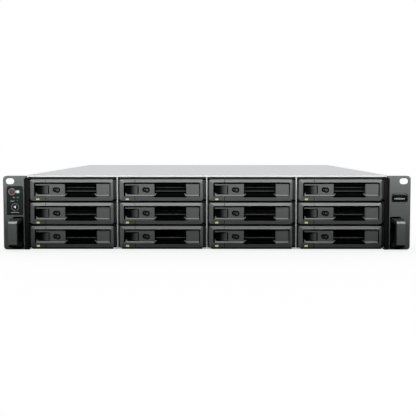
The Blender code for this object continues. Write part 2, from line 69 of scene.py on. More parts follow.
TUB_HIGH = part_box("chassis_tub")[1]
BODY_FRONT, REAR, TOP = COVER_LOW.y, TUB_HIGH.y, COVER_HIGH.z
HALF_BODY = TUB_HIGH.x
HANDLE_LOW, HANDLE_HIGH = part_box("right_handle")
FASCIA_LOW, FASCIA_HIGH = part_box("control_fascia")
PITCH_X = (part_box("tray_r1c4")[0].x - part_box("tray_r1c1")[0].x) / (COLUMNS - 1)
FOOT_INNER = 0.2104        # inner end of each ear's foot, which stands in front of the body
TRAY_REACH = 0.0523        # from a tray's middle to the outside of its rails


def bay_origin(bay):
    """Middle of the tray across, its bezel's face, and its underside."""
    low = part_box("tray_" + bay)[0]
    return Vector((low.x + TRAY_REACH, low.y, low.z))


# ---- sizes in one bay, from its origin: x, x, z, z of each outline ---------------------------
def in_bay(node):
    low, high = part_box(node)
    origin = bay_origin("r1c1")
    return low.x - origin.x, high.x - origin.x, low.z - origin.z, high.z - origin.z


BEZEL = (-0.0505, 0.0487, 0.0005, 0.0264)
BEZEL_THICK = 0.0048
POCKET = (-0.0455, 0.0454, 0.0060, 0.0226)
POCKET_DEPTH = 0.017
SLOPE_SPAN, SLOPE_DEPTH = (0.07, 0.88), 0.0014
STATUS_X = -0.0413
LEVER = in_bay("lever_r1c1")
LEVER_FACE = 0.0010
LIP_TOP = LEVER[2] + 0.0016
PLATE_THICK = 0.0022
GRILLE_X = (-0.0091, 0.0288)
BAR_ZS, BAR_INSET = (0.0122, 0.0166), 0.0010
PIVOT = (LEVER[1] - 0.0085, LEVER_FACE + 0.0030)
NOTCH = (-0.0276, 0.0083, 0.0191)                # right end, z, z
BUTTON = in_bay("latch_button_r1c1")
LOCK_AT, LOCK_MARK = (-0.0177, 0.0136), (-0.0206, 0.0141)
DRIVE_FRONT, DRIVE_BACK = 0.024, 0.171
DRIVE_HALF = 0.0508
CRADLE_FRONT, CRADLE_BACK = 0.0185, 0.1668


# ---- mesh helpers ---------------------------------------------------------------------------
def linked(name, data):
    """A new object in the scene."""
    obj = bpy.data.objects.new(name, data)
    bpy.context.scene.collection.objects.link(obj)
    return obj


def object_from(name, bm):
    mesh = bpy.data.meshes.new(name)
    bm.to_mesh(mesh)
    bm.free()
    return linked(name, mesh)


def outward(name, bm):
    """An object whose faces all look outwards."""
    bmesh.ops.recalc_face_normals(bm, faces=bm.faces)
    return object_from(name, bm)


def box(low, high):
    """A box between two corners."""
    low, high = Vector(low), Vector(high)
    bm = bmesh.new()
    bmesh.ops.create_cube(bm, size=1.0)
    bmesh.ops.scale(bm, vec=high - low, verts=bm.verts)
    bmesh.ops.translate(bm, vec=(low + high) / 2, verts=bm.verts)
    return outward("box", bm)


def rod(centre, radius, low, high, axis="Y", sides=24, end_radius=None):
    """A cylinder, or a cone with end_radius, from low to high along an axis through centre."""
    bm = bmesh.new()
    end = radius if end_radius is None else end_radius
    bmesh.ops.create_cone(bm, cap_ends=True, segments=sides, radius1=radius, radius2=end, depth=high - low)
    middle, (a, b) = (low + high) / 2, centre
    quarter = math.radians(90)
    matrix = {
        "X": Matrix.Translation((middle, a, b)) @ Matrix.Rotation(quarter, 4, "Y"),
        "Y": Matrix.Translation((a, middle, b)) @ Matrix.Rotation(-quarter, 4, "X"),
        "Z": Matrix.Translation((a, b, middle)),
    }[axis]
    bmesh.ops.transform(bm, matrix=matrix, verts=bm.verts)
    return outward("rod", bm)


def rounded_ring(x0, x1, z0, z1, radius, y, arc=4):
    """Points round a rounded rectangle that faces -Y. Four radii may be given, from the low left round."""
    points = []
    for i, r in enumerate(radius if isinstance(radius, tuple) else (radius,) * 4):
        x = x0 + r if i in (0, 3) else x1 - r
        z = z0 + r if i < 2 else z1 - r
        start = (180 + 90 * i) % 360
        for px, pz in arc_points(x, z, r, start, start + 90, arc):
            points.append(Vector((px, y(px, pz) if callable(y) else y, pz)))
    return points


def loft(rings, closed=False):
    """A closed skin through rings of equal length, capped at both ends or joined end to start."""
    bm = bmesh.new()
    loops = [[bm.verts.new(point) for point in ring] for ring in rings]
    pairs = list(zip(loops, loops[1:]))
    if closed:
        pairs.append((loops[-1], loops[0]))
    for first, second in pairs:
        for i in range(len(first)):
            j = (i + 1) % len(first)
            bm.faces.new((first[i], first[j], second[j], second[i]))
    if not closed:
        bm.faces.new(loops[0])
        bm.faces.new(loops[-1])
    return outward("loft", bm)


def plate(x0, x1, z0, z1, radius, front, back, edge=0.0003, arc=4):
    """A rounded plate that faces -Y, with a softened front edge."""
    levels = ((0, back), (0, front + edge), (edge * 0.3, front + edge * 0.3), (edge, front))
    return loft([rounded_ring(x0 + by, x1 - by, z0 + by, z1 - by, radius, y, arc) for by, y in levels])


def span(side, a, b):
    """Two x on one side, 1 for the right or -1 for the left, in rising order."""
    return sorted((side * a, side * b))


def prism(points, low, high, axis="X"):
    """An outline pushed along an axis: (y, z) points along X, (x, z) along Y, (x, y) along Z."""
    place = {
        "X": lambda p, t: (t, p[0], p[1]),
        "Y": lambda p, t: (p[0], t, p[1]),
        "Z": lambda p, t: (p[0], p[1], t),
    }[axis]
    return loft([[Vector(place(p, level)) for p in points] for level in (low, high)])


def arc_points(x, z, radius, start, end, steps):
    angles = [math.radians(start + (end - start) * i / steps) for i in range(steps + 1)]
    return [(x + radius * math.cos(a), z + radius * math.sin(a)) for a in angles]


def combine(operation, target, tools):
    for tool in tools:
        modifier = target.modifiers.new(operation, "BOOLEAN")
        modifier.operation = operation
        modifier.object = tool
    bake(target)
    for tool in tools:
        bpy.data.objects.remove(tool)
    return target


def union(target, *tools):
    return combine("UNION", target, tools)


def cut(target, *tools):
    return combine("DIFFERENCE", target, tools)


def bake(obj):
    graph = bpy.context.evaluated_depsgraph_get()
    mesh = bpy.data.meshes.new_from_object(obj.evaluated_get(graph))
    obj.modifiers.clear()
    obj.data = mesh
    return obj


def add_bevel(obj, width, segments, angle):
    bevel = obj.modifiers.new("soften", "BEVEL")
    bevel.width = width
    bevel.segments = segments
    bevel.limit_method = "ANGLE"
    bevel.angle_limit = math.radians(angle)
    bevel.harden_normals = True


def soften(obj, width, segments=2):
    """Rounds the object's edges."""
    add_bevel(obj, width, segments, 35)
    return bake(obj)


def gather(*objects):
    """Several closed shapes as one mesh."""
    bm = bmesh.new()
    for obj in objects:
        obj.data.transform(obj.matrix_world)
        bm.from_mesh(obj.data)
        bpy.data.objects.remove(obj)
    return object_from("gathered", bm)


def take(obj, angle=32):
    """The object's mesh, shaded smooth between its sharp edges with flat faces kept flat. The object goes."""
    obj.data.shade_smooth()
    obj.data.set_sharp_from_angle(angle=math.radians(angle))
    weighted = obj.modifiers.new("weighted", "WEIGHTED_NORMAL")
    weighted.keep_sharp = True
    weighted.weight = 80
    mesh = bake(obj).data
    bpy.data.objects.remove(obj)
    return mesh


def merged(shapes, width=0.0, segments=2):
    """Several closed shapes as one finished mesh, with its edges rounded where a width is given."""
    whole = gather(*shapes)
    return take(soften(whole, width, segments) if width else whole)


def paint(mesh, *rules):
    """Gives the mesh several materials. Each rule is (material, test of a face); the last that holds wins."""
    for index, (material, test) in enumerate(rules):
        mesh.materials.append(material)
        for face in mesh.polygons:
            if test(face):
                face.material_index = index
    return mesh


def mirrored(mesh):
    """A copy of the mesh on the other side of X = 0."""
    bm = bmesh.new()
    bm.from_mesh(mesh)
    bmesh.ops.scale(bm, vec=(-1, 1, 1), verts=bm.verts)
    bmesh.ops.reverse_faces(bm, faces=bm.faces)
    copy = object_from("mirrored", bm)
    for material in mesh.materials:
        copy.data.materials.append(material)
    return take(copy)


def piece(name, mesh, material, body="chassis", at=(0, 0, 0), replaces=()):
    """Puts a finished mesh in the scene, on a body of the model, with the given material if the mesh has none
    yet.
    """
    obj = linked(name, mesh)
    obj.location = at
    if not mesh.materials:
        mesh.materials.append(material)
    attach(obj, body)
    if replaces:
        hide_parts(*replaces)
    return obj


# ---- materials ------------------------------------------------------------------------------
def feed(tree, socket, value):
    """Gives a socket a number, a colour or vector, or another node's output."""
    if isinstance(value, bpy.types.NodeSocket):
        tree.links.new(value, socket)
    elif socket.type == "RGBA":
        socket.default_value = (*value[:3], 1)
    else:
        socket.default_value = value


def fill(tree, node, values):
    """Gives a node its inputs and settings."""
    for key, value in values.items():
        if key in node.inputs:
            feed(tree, node.inputs[key], value)
        else:
            setattr(node, key, value)
    return node


def add_node(tree, kind, **values):
    return fill(tree, tree.nodes.new(kind), values)


def object_space(tree):
    return add_node(tree, "ShaderNodeTexCoord").outputs["Object"]


def mixed(tree, factor, first, second):
    """A colour between two others."""
    node = add_node(tree, "ShaderNodeMix", data_type="RGBA", Factor=factor, A=first, B=second)
    return node.outputs["Result"]


def step(tree, operation, a, b):
    """One sum: each side is a number or another node's output."""
    node = add_node(tree, "ShaderNodeMath", operation=operation)
    feed(tree, node.inputs[0], a)
    feed(tree, node.inputs[1], b)
    return node.outputs[0]


def noise(tree, coordinates, scale, detail=3.0, stretch=None):
    if stretch:
        mapping = add_node(tree, "ShaderNodeMapping", Scale=stretch, Vector=coordinates)
        coordinates = mapping.outputs["Vector"]
    node = add_node(tree, "ShaderNodeTexNoise", Scale=scale, Detail=detail, Roughness=0.6, Vector=coordinates)
    return node.outputs["Fac"]


def spread(tree, value, low, high):
    """The noise's middle range, mapped to run from low to high."""
    limits = {"From Min": 0.3, "From Max": 0.7, "To Min": low, "To Max": high}
    return add_node(tree, "ShaderNodeMapRange", Value=value, **limits).outputs["Result"]


def new_material(name):
    material = bpy.data.materials.new(name)
    material.use_nodes = True
    return material, material.node_tree, material.node_tree.nodes["Principled BSDF"]


SLOW_SCALE, FINE_SHARE = 22.0, 0.35              # size of the slow shades, share of the fine ones
RELIEF_DEPTH = 0.00003


def surface(name, colour, roughness, metallic=0.0, vary=0.04, grain=1500.0, bump=0.15,
            stretch=None, rough_vary=0.06, coat=0.0, specular=0.5):
    """A finish with a fine grain in its relief, slow changes of shade and small changes of roughness."""
    material, tree, shader = new_material(name)
    coordinates = object_space(tree)
    fine = noise(tree, coordinates, grain, 2.0, stretch)
    slow = noise(tree, coordinates, SLOW_SCALE)
    shares = [step(tree, "MULTIPLY", fac, part) for fac, part in ((fine, FINE_SHARE), (slow, 1 - FINE_SHARE))]
    shade = spread(tree, step(tree, "ADD", *shares), 0.0, 1.0)
    darker, lighter = ([min(1.0, c * share) for c in colour] for share in (1 - vary, 1 + vary))
    fill(tree, shader, {
        "Metallic": metallic, "Coat Weight": coat, "Coat Roughness": 0.08, "Specular IOR Level": specular,
        "Base Color": mixed(tree, shade, darker, lighter),
        "Roughness": spread(tree, slow, max(0.02, roughness - rough_vary), roughness + rough_vary),
    })
    if bump:
        relief = add_node(tree, "ShaderNodeBump", Strength=bump, Distance=RELIEF_DEPTH, Height=fine)
        feed(tree, shader.inputs["Normal"], relief.outputs["Normal"])
    return material


# Shares of the piece's width where the painted reflection starts and is full, and where the rim's painted
# shade is full and gone.
REFLECTION_FROM_TO, RIM_SHADE_FROM_TO = (0.36, 0.97), (0.975, 0.94)


def paint_reflection_to_right(material, dark, pale):
    """Paints a reflection into a finish: it grows from dark to pale towards the right end of its piece, with
    painted shade at the rim there.
    """
    tree = material.node_tree
    along = add_node(tree, "ShaderNodeTexCoord").outputs["Generated"]
    x = add_node(tree, "ShaderNodeSeparateXYZ", Vector=along).outputs["X"]
    ramps = []
    for start, end in (REFLECTION_FROM_TO, RIM_SHADE_FROM_TO):
        limits = {"From Min": start, "From Max": end}
        ramp = add_node(tree, "ShaderNodeMapRange", interpolation_type="SMOOTHSTEP", Value=x, **limits)
        ramps.append(ramp.outputs["Result"])
    colour = mixed(tree, step(tree, "MULTIPLY", *ramps), dark, pale)
    feed(tree, tree.nodes["Principled BSDF"].inputs["Base Color"], colour)


def lamp(name, colour, strength, body=None):
    """A lit lens or symbol."""
    material, tree, shader = new_material(name)
    base = body or colour
    fill(tree, shader, {
        "Base Color": mixed(tree, noise(tree, object_space(tree), 300.0), [c * 0.85 for c in base], base),
        "Roughness": 0.25, "Emission Color": colour, "Emission Strength": strength,
    })
    return material


def circuit(name, colour, copper):
    """A circuit board: solder mask over fine copper runs."""
    material = surface(name, colour, 0.38, vary=0.08, grain=900.0, bump=0.05)
    tree = material.node_tree
    sizes = {"Scale": 60.0, "Mortar Size": 0.012, "Brick Width": 0.9, "Row Height": 0.16}
    runs = add_node(tree, "ShaderNodeTexBrick", Vector=object_space(tree), **sizes)
    base = tree.nodes["Principled BSDF"].inputs["Base Color"]
    feed(tree, base, mixed(tree, runs.outputs["Fac"], base.links[0].from_socket, copper))
    return material


MOULDED = {"vary": 0.05, "grain": 2400.0, "bump": 0.3}
POWDER = surface("powder_coat", (0.655, 0.665, 0.670), 0.42, vary=0.025, grain=2600.0, bump=0.25)
ZINC = surface("zinc_steel", (0.62, 0.63, 0.63), 0.34,
               metallic=0.75, vary=0.06, grain=900.0, stretch=(1, 1, 6))
BEZEL_PLASTIC = surface("bezel_plastic", (0.100, 0.106, 0.104), 0.42, **MOULDED)
LEVER_PLASTIC = surface("lever_plastic", (0.088, 0.095, 0.092), 0.46, **MOULDED)
EAR_PLASTIC = surface("ear_plastic", (0.089, 0.100, 0.096), 0.45, **MOULDED)
# Very dark plastic of the carrier frame and the label's ledge; also painted shade on the handles' upward arm
# faces.
DARK_PLASTIC_AND_SHADE = surface("flank_plastic", (0.010, 0.0105, 0.0105), 0.55, vary=0.08, grain=2000.0)
# A lighter copy of the lever's plastic for the lever's lip and the label's top rim: the lip's upward slope
# catches the real light, and the lighter colour adds a painted highlight.
LIP_PAINTED_HIGHLIGHT = surface("lip_plastic", (0.150, 0.160, 0.156), 0.42, vary=0.05, grain=2400.0, bump=0.2)
HANDLE_PLASTIC = surface("handle_plastic", (0.118, 0.130, 0.125), 0.42, **MOULDED)
# Lighter plastic on the handles' top chamfer: a painted highlight.
HANDLE_PAINTED_HIGHLIGHT = surface("handle_edge", (0.235, 0.246, 0.241), 0.35, vary=0.04, grain=2400.0, bump=0.2)
LED_DARK = surface("led_dark", (0.022, 0.034, 0.010), 0.35, bump=0.0)
BAR_PLASTIC = surface("bar_plastic", (0.045, 0.047, 0.047), 0.42, vary=0.06, grain=2400.0)
LOCK_GREY = surface("lock_grey", (0.062, 0.065, 0.064), 0.40, vary=0.05, grain=1800.0)
HEM_COAT = surface("hem_coat", (0.600, 0.618, 0.614), 0.42, vary=0.02, grain=2600.0, bump=0.2)
EDGE_COAT = surface("edge_coat", (0.420, 0.428, 0.426), 0.45, vary=0.04, grain=2200.0)
BRACKET_STEEL = surface("bracket_steel", (0.055, 0.057, 0.058), 0.42, vary=0.08, grain=1800.0, bump=0.25)
# Near-black with almost no sheen: painted shade in the pockets, the lever's channel, the lock's ground and
# the power supplies' vents; also the bezel's dark joint line.
SHADE_AND_JOINT_BLACK = surface("well_black", (0.0018, 0.0018, 0.002), 0.75, vary=0.1, grain=2000.0, specular=0.04)
# Black plastic of real parts, also used as painted shade in the gaps between trays, on the bezels' set-back
# faces and in the ears' finger wells and inward sides.
BLACK_PLASTIC_AND_SHADE = surface("black_plastic", (0.007, 0.007, 0.0075), 0.55, vary=0.1, grain=2000.0, specular=0.25)
GLOSS_BLACK = surface("gloss_black", (0.006, 0.006, 0.007), 0.10, rough_vary=0.03, bump=0.0, coat=0.6)
# Black latch plastic whose colour grows pale towards the right end: a painted reflection, with painted shade
# at the rim.
LATCH_PAINTED_REFLECTION = surface("latch_black", (0.006, 0.006, 0.007), 0.30, rough_vary=0.03, bump=0.0, specular=0.06)
paint_reflection_to_right(LATCH_PAINTED_REFLECTION, (0.002, 0.002, 0.002), (0.078, 0.082, 0.082))
FASCIA_GLOSS = surface("fascia_gloss", (0.014, 0.019, 0.017), 0.28, rough_vary=0.04, bump=0.05)
RING_GREY = surface("ring_grey", (0.20, 0.20, 0.195), 0.32, bump=0.05)
PRINT_LIGHT = surface("print_light", (0.33, 0.34, 0.34), 0.55, bump=0.0)
# Dark print on the rear panel; also the painted shade of the handles' groove.
DARK_PRINT_AND_SHADE = surface("print_dark", (0.015, 0.016, 0.017), 0.60, bump=0.0)
BUTTON_RED = surface("button_red", (0.070, 0.032, 0.026), 0.35, bump=0.05)
BUTTON_GREY = surface("button_grey", (0.17, 0.175, 0.18), 0.35, bump=0.05)
DIE_CAST = surface("die_cast", (0.40, 0.41, 0.42), 0.48, metallic=0.7, vary=0.08, grain=1100.0, bump=0.35)
LID_STEEL = surface("lid_steel", (0.66, 0.67, 0.68), 0.28,
                    metallic=0.9, vary=0.04, grain=500.0, stretch=(1, 9, 1))
LABEL_WHITE = surface("label_white", (0.74, 0.75, 0.76), 0.55, vary=0.02, bump=0.05)
SCREW_STEEL = surface("screw_steel", (0.52, 0.53, 0.54), 0.30, metallic=0.95, grain=1200.0)
SCREW_BLACK = surface("screw_black", (0.03, 0.03, 0.032), 0.35, metallic=0.6, grain=1200.0)
LATCH_BLUE = surface("latch_blue", (0.035, 0.16, 0.42), 0.42, grain=2000.0)
ALUMINIUM = surface("aluminium", (0.70, 0.71, 0.72), 0.32,
                    metallic=0.95, vary=0.04, grain=700.0, stretch=(1, 9, 1))
GOLD = surface("gold_contacts", (0.80, 0.58, 0.22), 0.28, metallic=1.0, bump=0.0)
BOARD = circuit("board_green", (0.012, 0.085, 0.040), (0.030, 0.150, 0.070))
LED_LIME = lamp("led_lime", (0.46, 0.53, 0.20), 0.82, body=(0.20, 0.26, 0.08))
LED_GREEN = lamp("led_green", (0.06, 0.30, 0.07), 0.45, body=(0.03, 0.20, 0.04))
SIGN_RED = lamp("power_red", (0.30, 0.15, 0.12), 0.10, body=(0.16, 0.07, 0.06))
SIGN_WHITE = lamp("glyph_white", (0.80, 0.82, 0.82), 0.35)
LED_WHITE = lamp("led_white", (0.50, 0.60, 0.62), 0.50, body=(0.3, 0.36, 0.37))


# ---- drive bays -----------------------------------------------------------------------------
def lerp(a, b, t):
    return a + (b - a) * t


def inset(rect, by, radius, y):
    x0, x1, z0, z1 = rect
    return rounded_ring(x0 + by, x1 - by, z0 + by, z1 - by, radius, y, 5)


def flat_ring(x0, x1, y0, y1, radius, z):
    """Points round a rounded rectangle that faces up."""
    return [Vector((p.x, p.z, z)) for p in rounded_ring(x0, x1, y0, y1, radius, 0.0)]


def bezel_ring(t, y):
    """A ring on the bezel: t is 0 on its outer edge and 1 on the pocket's edge."""
    x0, x1, z0, z1 = (lerp(a, b, t) for a, b in zip(BEZEL, POCKET))
    low, high = lerp(0.0028, 0.0011, t), lerp(0.0018, 0.0016, t)
    return rounded_ring(x0, x1, z0, z1, (low, low, high, high), y, 6)


def bezel_face(t):
    """Depth of the bezel's sloping face."""
    start, end = SLOPE_SPAN
    return lerp(SLOPE_DEPTH, 0.0002, (t - start) / (end - start))


def bezel_mesh():
    """Moulded frame whose face slopes back from the pocket's rim to its outer edge."""
    start, end = SLOPE_SPAN
    profile = (
        (0, BEZEL_THICK), (0, SLOPE_DEPTH + 0.0009), (0.02, SLOPE_DEPTH + 0.0004), (start, bezel_face(start)),
        (end, bezel_face(end)), (0.95, 0.0), (1, 0.0003), (1, BEZEL_THICK),
    )
    z, (left, right), dip = POCKET[2], GRILLE_X, 0.0012
    finger_room = prism(
        [(left - dip, z + 0.0002), (left, z - dip), (right, z - dip), (right + dip, z + 0.0002)],
        -0.001, BEZEL_THICK + 0.001, "Y",
    )
    mesh = take(cut(loft([bezel_ring(t, y) for t, y in profile], closed=True), finger_room), 25)
    # Faces set back behind the sloping face, the bezel's sides and the walls of the finger room, are painted
    # black: painted shade in the gaps between trays.
    deep = lambda face: face.center.y > SLOPE_DEPTH + 0.0007
    return paint(mesh, (BEZEL_PLASTIC, lambda face: True), (BLACK_PLASTIC_AND_SHADE, deep))


def bar_strip(x0, x1, t0, t1, upper, proud):
    """A thin strip that lies on the face of the bezel's upper or lower bar, from t0 to t1 across it."""
    edge, rim = (BEZEL[3], POCKET[3]) if upper else (BEZEL[2], POCKET[2])
    ends = [(bezel_face(t) - proud, lerp(edge, rim, t)) for t in (t0, t1)]
    backs = [(y + proud + 0.0008, z) for y, z in reversed(ends)]
    return prism(ends + backs, x0, x1)


def seam_mesh():
    """Fine joint line across the bezel's upper and lower bars."""
    x, half = -0.0321, 0.00030
    strips = [bar_strip(x - half, x + half, 0.10, 0.92, upper, 0.00005) for upper in (True, False)]
    return merged(strips)


def status_lens_mesh():
    """Two small lenses side by side in the lower bar."""
    middle, width, gap = STATUS_X, 0.0018, 0.00008
    lenses = [
        bar_strip(middle + low, middle + low + width, 0.20, 0.58, False, 0.00018)
        for low in (-gap - width, gap)
    ]
    return merged(lenses, 0.00012)


def lens_well_mesh():
    return take(bar_strip(STATUS_X - 0.0023, STATUS_X + 0.0023, 0.15, 0.64, False, 0.00004))


def pocket_liner_mesh():
    """Walls inside the pocket, near-black as painted shade."""
    rings = [inset(POCKET, by, 0.0011, y) for by, y in (
        (-0.0002, 0.0007), (-0.0002, POCKET_DEPTH), (0.0002, POCKET_DEPTH), (0.0002, 0.0007)
    )]
    return take(loft(rings, closed=True))


def pocket_back_mesh():
    """Back wall of the pocket with a row of upright air slots."""
    x0, x1, z0, z1 = POCKET
    front = POCKET_DEPTH - 0.0014
    wall = box((x0 - 0.0002, front, z0 - 0.0002), (x1 + 0.0002, POCKET_DEPTH + 0.0008, z1 + 0.0002))
    slots = []
    for i in range(20):
        x = x0 + 0.0030 + 0.0044 * i
        slots.append(box((x, front - 0.001, z0 + 0.0022), (x + 0.0024, front + 0.0012, z1 - 0.0022)))
    return take(cut(wall, gather(*slots)))


def carrier_front_mesh():
    """Plain frame behind the bezel, a little wider than it."""
    half, low, high = 0.0520, 0.0022, 0.0255
    frame_part = box((-half, BEZEL_THICK - 0.0002, low), (half, POCKET_DEPTH + 0.0018, high))
    hole = box((POCKET[0] + 0.0001, 0.0, POCKET[2] + 0.0001), (POCKET[1] - 0.0001, 0.03, POCKET[3] - 0.0001))
    return take(soften(cut(frame_part, hole), 0.0003, 1))


def hinge_pin_mesh():
    return take(rod(PIVOT, 0.0011, POCKET[2] - 0.0003, POCKET[3] + 0.0003, "Z", 20))


def carrier_mesh():
    """Cradle behind the bezel: two side rails with windows, and a thin open floor."""
    parts = []
    for side in (-1, 1):
        low_x, high_x = span(side, 0.0509, 0.0522)
        rail = box((low_x, CRADLE_FRONT, 0.0052), (high_x, CRADLE_BACK, 0.0218))
        windows = [
            box((low_x - 0.001, y, 0.0090), (high_x + 0.001, y + 0.0240, 0.0180))
            for y in (0.030, 0.066, 0.102, 0.136)
        ]
        parts.append(cut(rail, *windows))
        low_x, high_x = span(side, 0.0515, 0.0523)
        parts += [box((low_x, CRADLE_FRONT, z), (high_x, CRADLE_BACK, z + 0.0018)) for z in (0.0052, 0.0200)]
    floor = box((-0.0505, CRADLE_FRONT, 0.0010), (0.0505, CRADLE_BACK, 0.0016))
    corners = [(x, y) for x in (-0.045, 0.005) for y in (0.030, 0.100)]
    openings = [box((x, y, 0), (x + 0.040, y + 0.054, 0.003)) for x, y in corners]
    parts.append(cut(floor, *openings))
    return merged(parts, 0.0002, 1)


def drive_case_mesh():
    """Die-cast 3.5-inch drive case with a waist along each side."""
    case = box((-DRIVE_HALF, DRIVE_FRONT, 0.0019), (DRIVE_HALF, DRIVE_BACK, 0.0262))
    grooves = []
    for side in (-1, 1):
        low, high = span(side, 0.0496, 0.0520)
        grooves.append(box((low, DRIVE_FRONT - 0.001, 0.0098), (high, DRIVE_BACK + 0.001, 0.0112)))
        low, high = span(side, 0.0478, 0.0520)
        grooves += [rod((y, 0.0062), 0.0016, low, high, "X", 12) for y in (0.050, 0.098, 0.150)]
    socket = box((-0.036, DRIVE_BACK - 0.006, 0.0030), (0.004, DRIVE_BACK + 0.001, 0.0080))
    return take(soften(cut(case, *grooves, socket), 0.0006, 2))


def drive_lid_mesh():
    """Pressed lid with a raised round over the platters and another over the arm."""
    x, y0, y1 = DRIVE_HALF - 0.0016, DRIVE_FRONT + 0.0016, DRIVE_BACK - 0.0016
    base = loft([flat_ring(-x + by, x - by, y0 + by, y1 - by, 0.004, z) for by, z in (
        (0, 0.0255), (0, 0.0264), (0.0004, 0.0266)
    )])
    disc = rod((0.0, DRIVE_FRONT + 0.092), 0.0455, 0.0260, 0.0269, "Z", 64, 0.0447)
    arm = rod((0.0240, DRIVE_FRONT + 0.028), 0.0150, 0.0260, 0.0268, "Z", 40, 0.0144)
    return take(gather(base, disc, arm), 30)


def drive_label_mesh():
    y0 = DRIVE_FRONT + 0.058
    return take(loft([flat_ring(-0.036, 0.036, y0, y0 + 0.056, 0.002, z) for z in (0.0262, 0.02698)]))


def drive_screws_mesh():
    spots = [(sx * 0.0455, y) for sx in (-1, 1) for y in (0.0300, 0.0980, 0.1650)] + [(0.0, 0.116)]
    screws = []
    for at in spots:
        head = rod(at, 0.0024, 0.0258, 0.02695, "Z", 20)
        screws.append(cut(head, rod(at, 0.0011, 0.0262, 0.0280, "Z", 6)))
    return merged(screws)


def drive_board_mesh():
    """The drive's own small board, underneath, with three chips."""
    board = box((-0.047, 0.060, 0.0012), (0.047, DRIVE_BACK - 0.003, 0.0021))
    chips = [
        box((x, y, 0.0010), (x + size, y + size, 0.0013))
        for x, y, size in ((-0.030, 0.080, 0.014), (0.004, 0.088, 0.018), (0.018, 0.128, 0.010))
    ]
    return merged([board] + chips)


def lever_mesh():
    """Pull lever's plate, with a rounded notch round the latch button, and its end block."""
    x0, x1, top = LEVER[0], LEVER[1], LEVER[3]
    left, right = GRILLE_X
    face, back = LEVER_FACE, LEVER_FACE + PLATE_THICK
    plate_part = box((x0, face, LIP_TOP), (left, back, top))
    notch_right, low, high = NOTCH
    notch = loft([
        rounded_ring(x0 - 0.01, notch_right, low, high, 0.0014, y) for y in (face - 0.002, back + 0.002)
    ])
    plate_part = cut(plate_part, notch)
    end = box((right, face, LIP_TOP), (x1, 0.0090, top))
    web = box((left - 0.0012, face + 0.0005, LIP_TOP), (left, 0.0060, top))
    recess = plate(right + 0.0010, x1 - 0.0010, LIP_TOP + 0.0006, top - 0.0010, 0.0006,
                   face - 0.001, face + 0.00018, 0.0)
    return take(soften(union(plate_part, web, cut(end, recess)), 0.00022))


def lip_mesh():
    """Pull lip along the bottom, sloping up and back, whose inner ends climb into the finger recess."""
    x0, x1, low = LEVER[:3]
    left, right = GRILLE_X
    base, front, back = low + 0.0001, 0.0001, LEVER_FACE + PLATE_THICK
    section = ((back, base), (front, base), (front, low + 0.0005), (LEVER_FACE, LIP_TOP), (back, LIP_TOP))
    shapes = [prism(section, x0 + 0.0002, left), prism(section, right, x1 - 0.0002)]
    corner = [(x0 + 0.0003, LIP_TOP), (x0 + 0.0028, LIP_TOP), (x0 + 0.0003, LIP_TOP + 0.0026)]
    shapes.append(prism(corner, 0.0012, 0.0024, "Y"))
    rise, thick = 0.0026, 0.0006
    for foot, way in ((left, 1), (right, -1)):
        climb = [
            (foot - way * 0.0004, base), (foot + way * 0.0002, base), (foot + way * rise, low + rise),
            (foot + way * (rise - thick), low + rise + thick), (foot - way * 0.0004, LIP_TOP - 0.0002),
        ]
        shapes.append(prism(climb, front + 0.0006, back, "Y"))
    return merged(shapes, 0.00015)


def lever_bars_mesh():
    """Two bars across the finger recess, the upper one thinner and set deeper."""
    (left, right), (lower, upper) = GRILLE_X, BAR_ZS
    bars = [
        box((left + BAR_INSET, y, z - half), (right - BAR_INSET, y + 0.0012, z + half))
        for y, z, half in ((0.0038, lower, 0.00044), (0.0066, upper, 0.00028))
    ]
    return merged(bars, 0.0002)


def lever_channel_mesh():
    """Black channel behind the finger recess, which joins the lever's two ends, with posts for the bars."""
    low, top = LEVER[2] + 0.0006, LEVER[3] - 0.0002
    left, right = GRILLE_X[0] - 0.0004, GRILLE_X[1] + 0.0004
    front, back, wall = 0.0030, 0.0084, 0.0009
    walls = [
        box((left, back - wall, low), (right, back, top)),
        box((left, front, top - wall), (right, back, top)),
        box((left, front + 0.0006, low), (right, back, low + wall)),
    ]
    half = 0.0003
    for x in (GRILLE_X[0] + BAR_INSET + half, GRILLE_X[1] - BAR_INSET - half):
        for z in BAR_ZS:
            walls.append(box((x - half, 0.0046, z - half), (x + half, back - 0.0001, z + half)))
    return merged(walls)


def lock_surround_mesh():
    """Dark ground of the key lock and of its mark: two overlapping rounds."""
    front, back = LEVER_FACE - 0.00005, LEVER_FACE + 0.0006
    rounds = [rod(LOCK_MARK, 0.0029, front, back, "Y", 40), rod(LOCK_AT, 0.0033, front, back, "Y", 40)]
    return take(union(*rounds))


def lock_mesh():
    """Key barrel with its slot, and the plain mark beside it."""
    (x0, z0), (x1, z1) = LOCK_MARK, LOCK_AT
    front, back = LEVER_FACE - 0.00025, LEVER_FACE + 0.0004
    barrel = rod((x1, z1), 0.0015, front, back, "Y", 32)
    slot = box((x1 - 0.0003, front - 0.001, z1 - 0.0010), (x1 + 0.0003, LEVER_FACE, z1 + 0.0010))
    mark = rod((x0 - 0.0002, z0), 0.0007, LEVER_FACE - 0.00012, back, "Y", 24)
    return merged([cut(barrel, slot), mark])


def button_mesh():
    """Latch button: a glossy scoop that deepens to the left, hollow across its height."""
    x0, x1, z0, z1 = BUTTON

    def face_y(x, z):
        along = (x1 - x) / (x1 - x0)
        across = 2 * (z - z0) / (z1 - z0) - 1
        return 0.0013 + 0.0032 * along ** 1.6 + 0.0004 * (1 - across * across)

    rings = [
        rounded_ring(x0, x1, z0, z1, 0.0012, 0.0074),
        rounded_ring(x0, x1, z0, z1, 0.0012, lambda x, z: face_y(x, z) + 0.0002),
    ]
    for share in (0.03, 0.15, 0.3, 0.5, 0.7, 0.9):
        dx, dz = (x1 - x0) / 2 * share, (z1 - z0) / 2 * share
        rings.append(rounded_ring(x0 + dx, x1 - dx, z0 + dz, z1 - dz, 0.0012 * (1 - share), face_y))
    return take(loft(rings), 20)


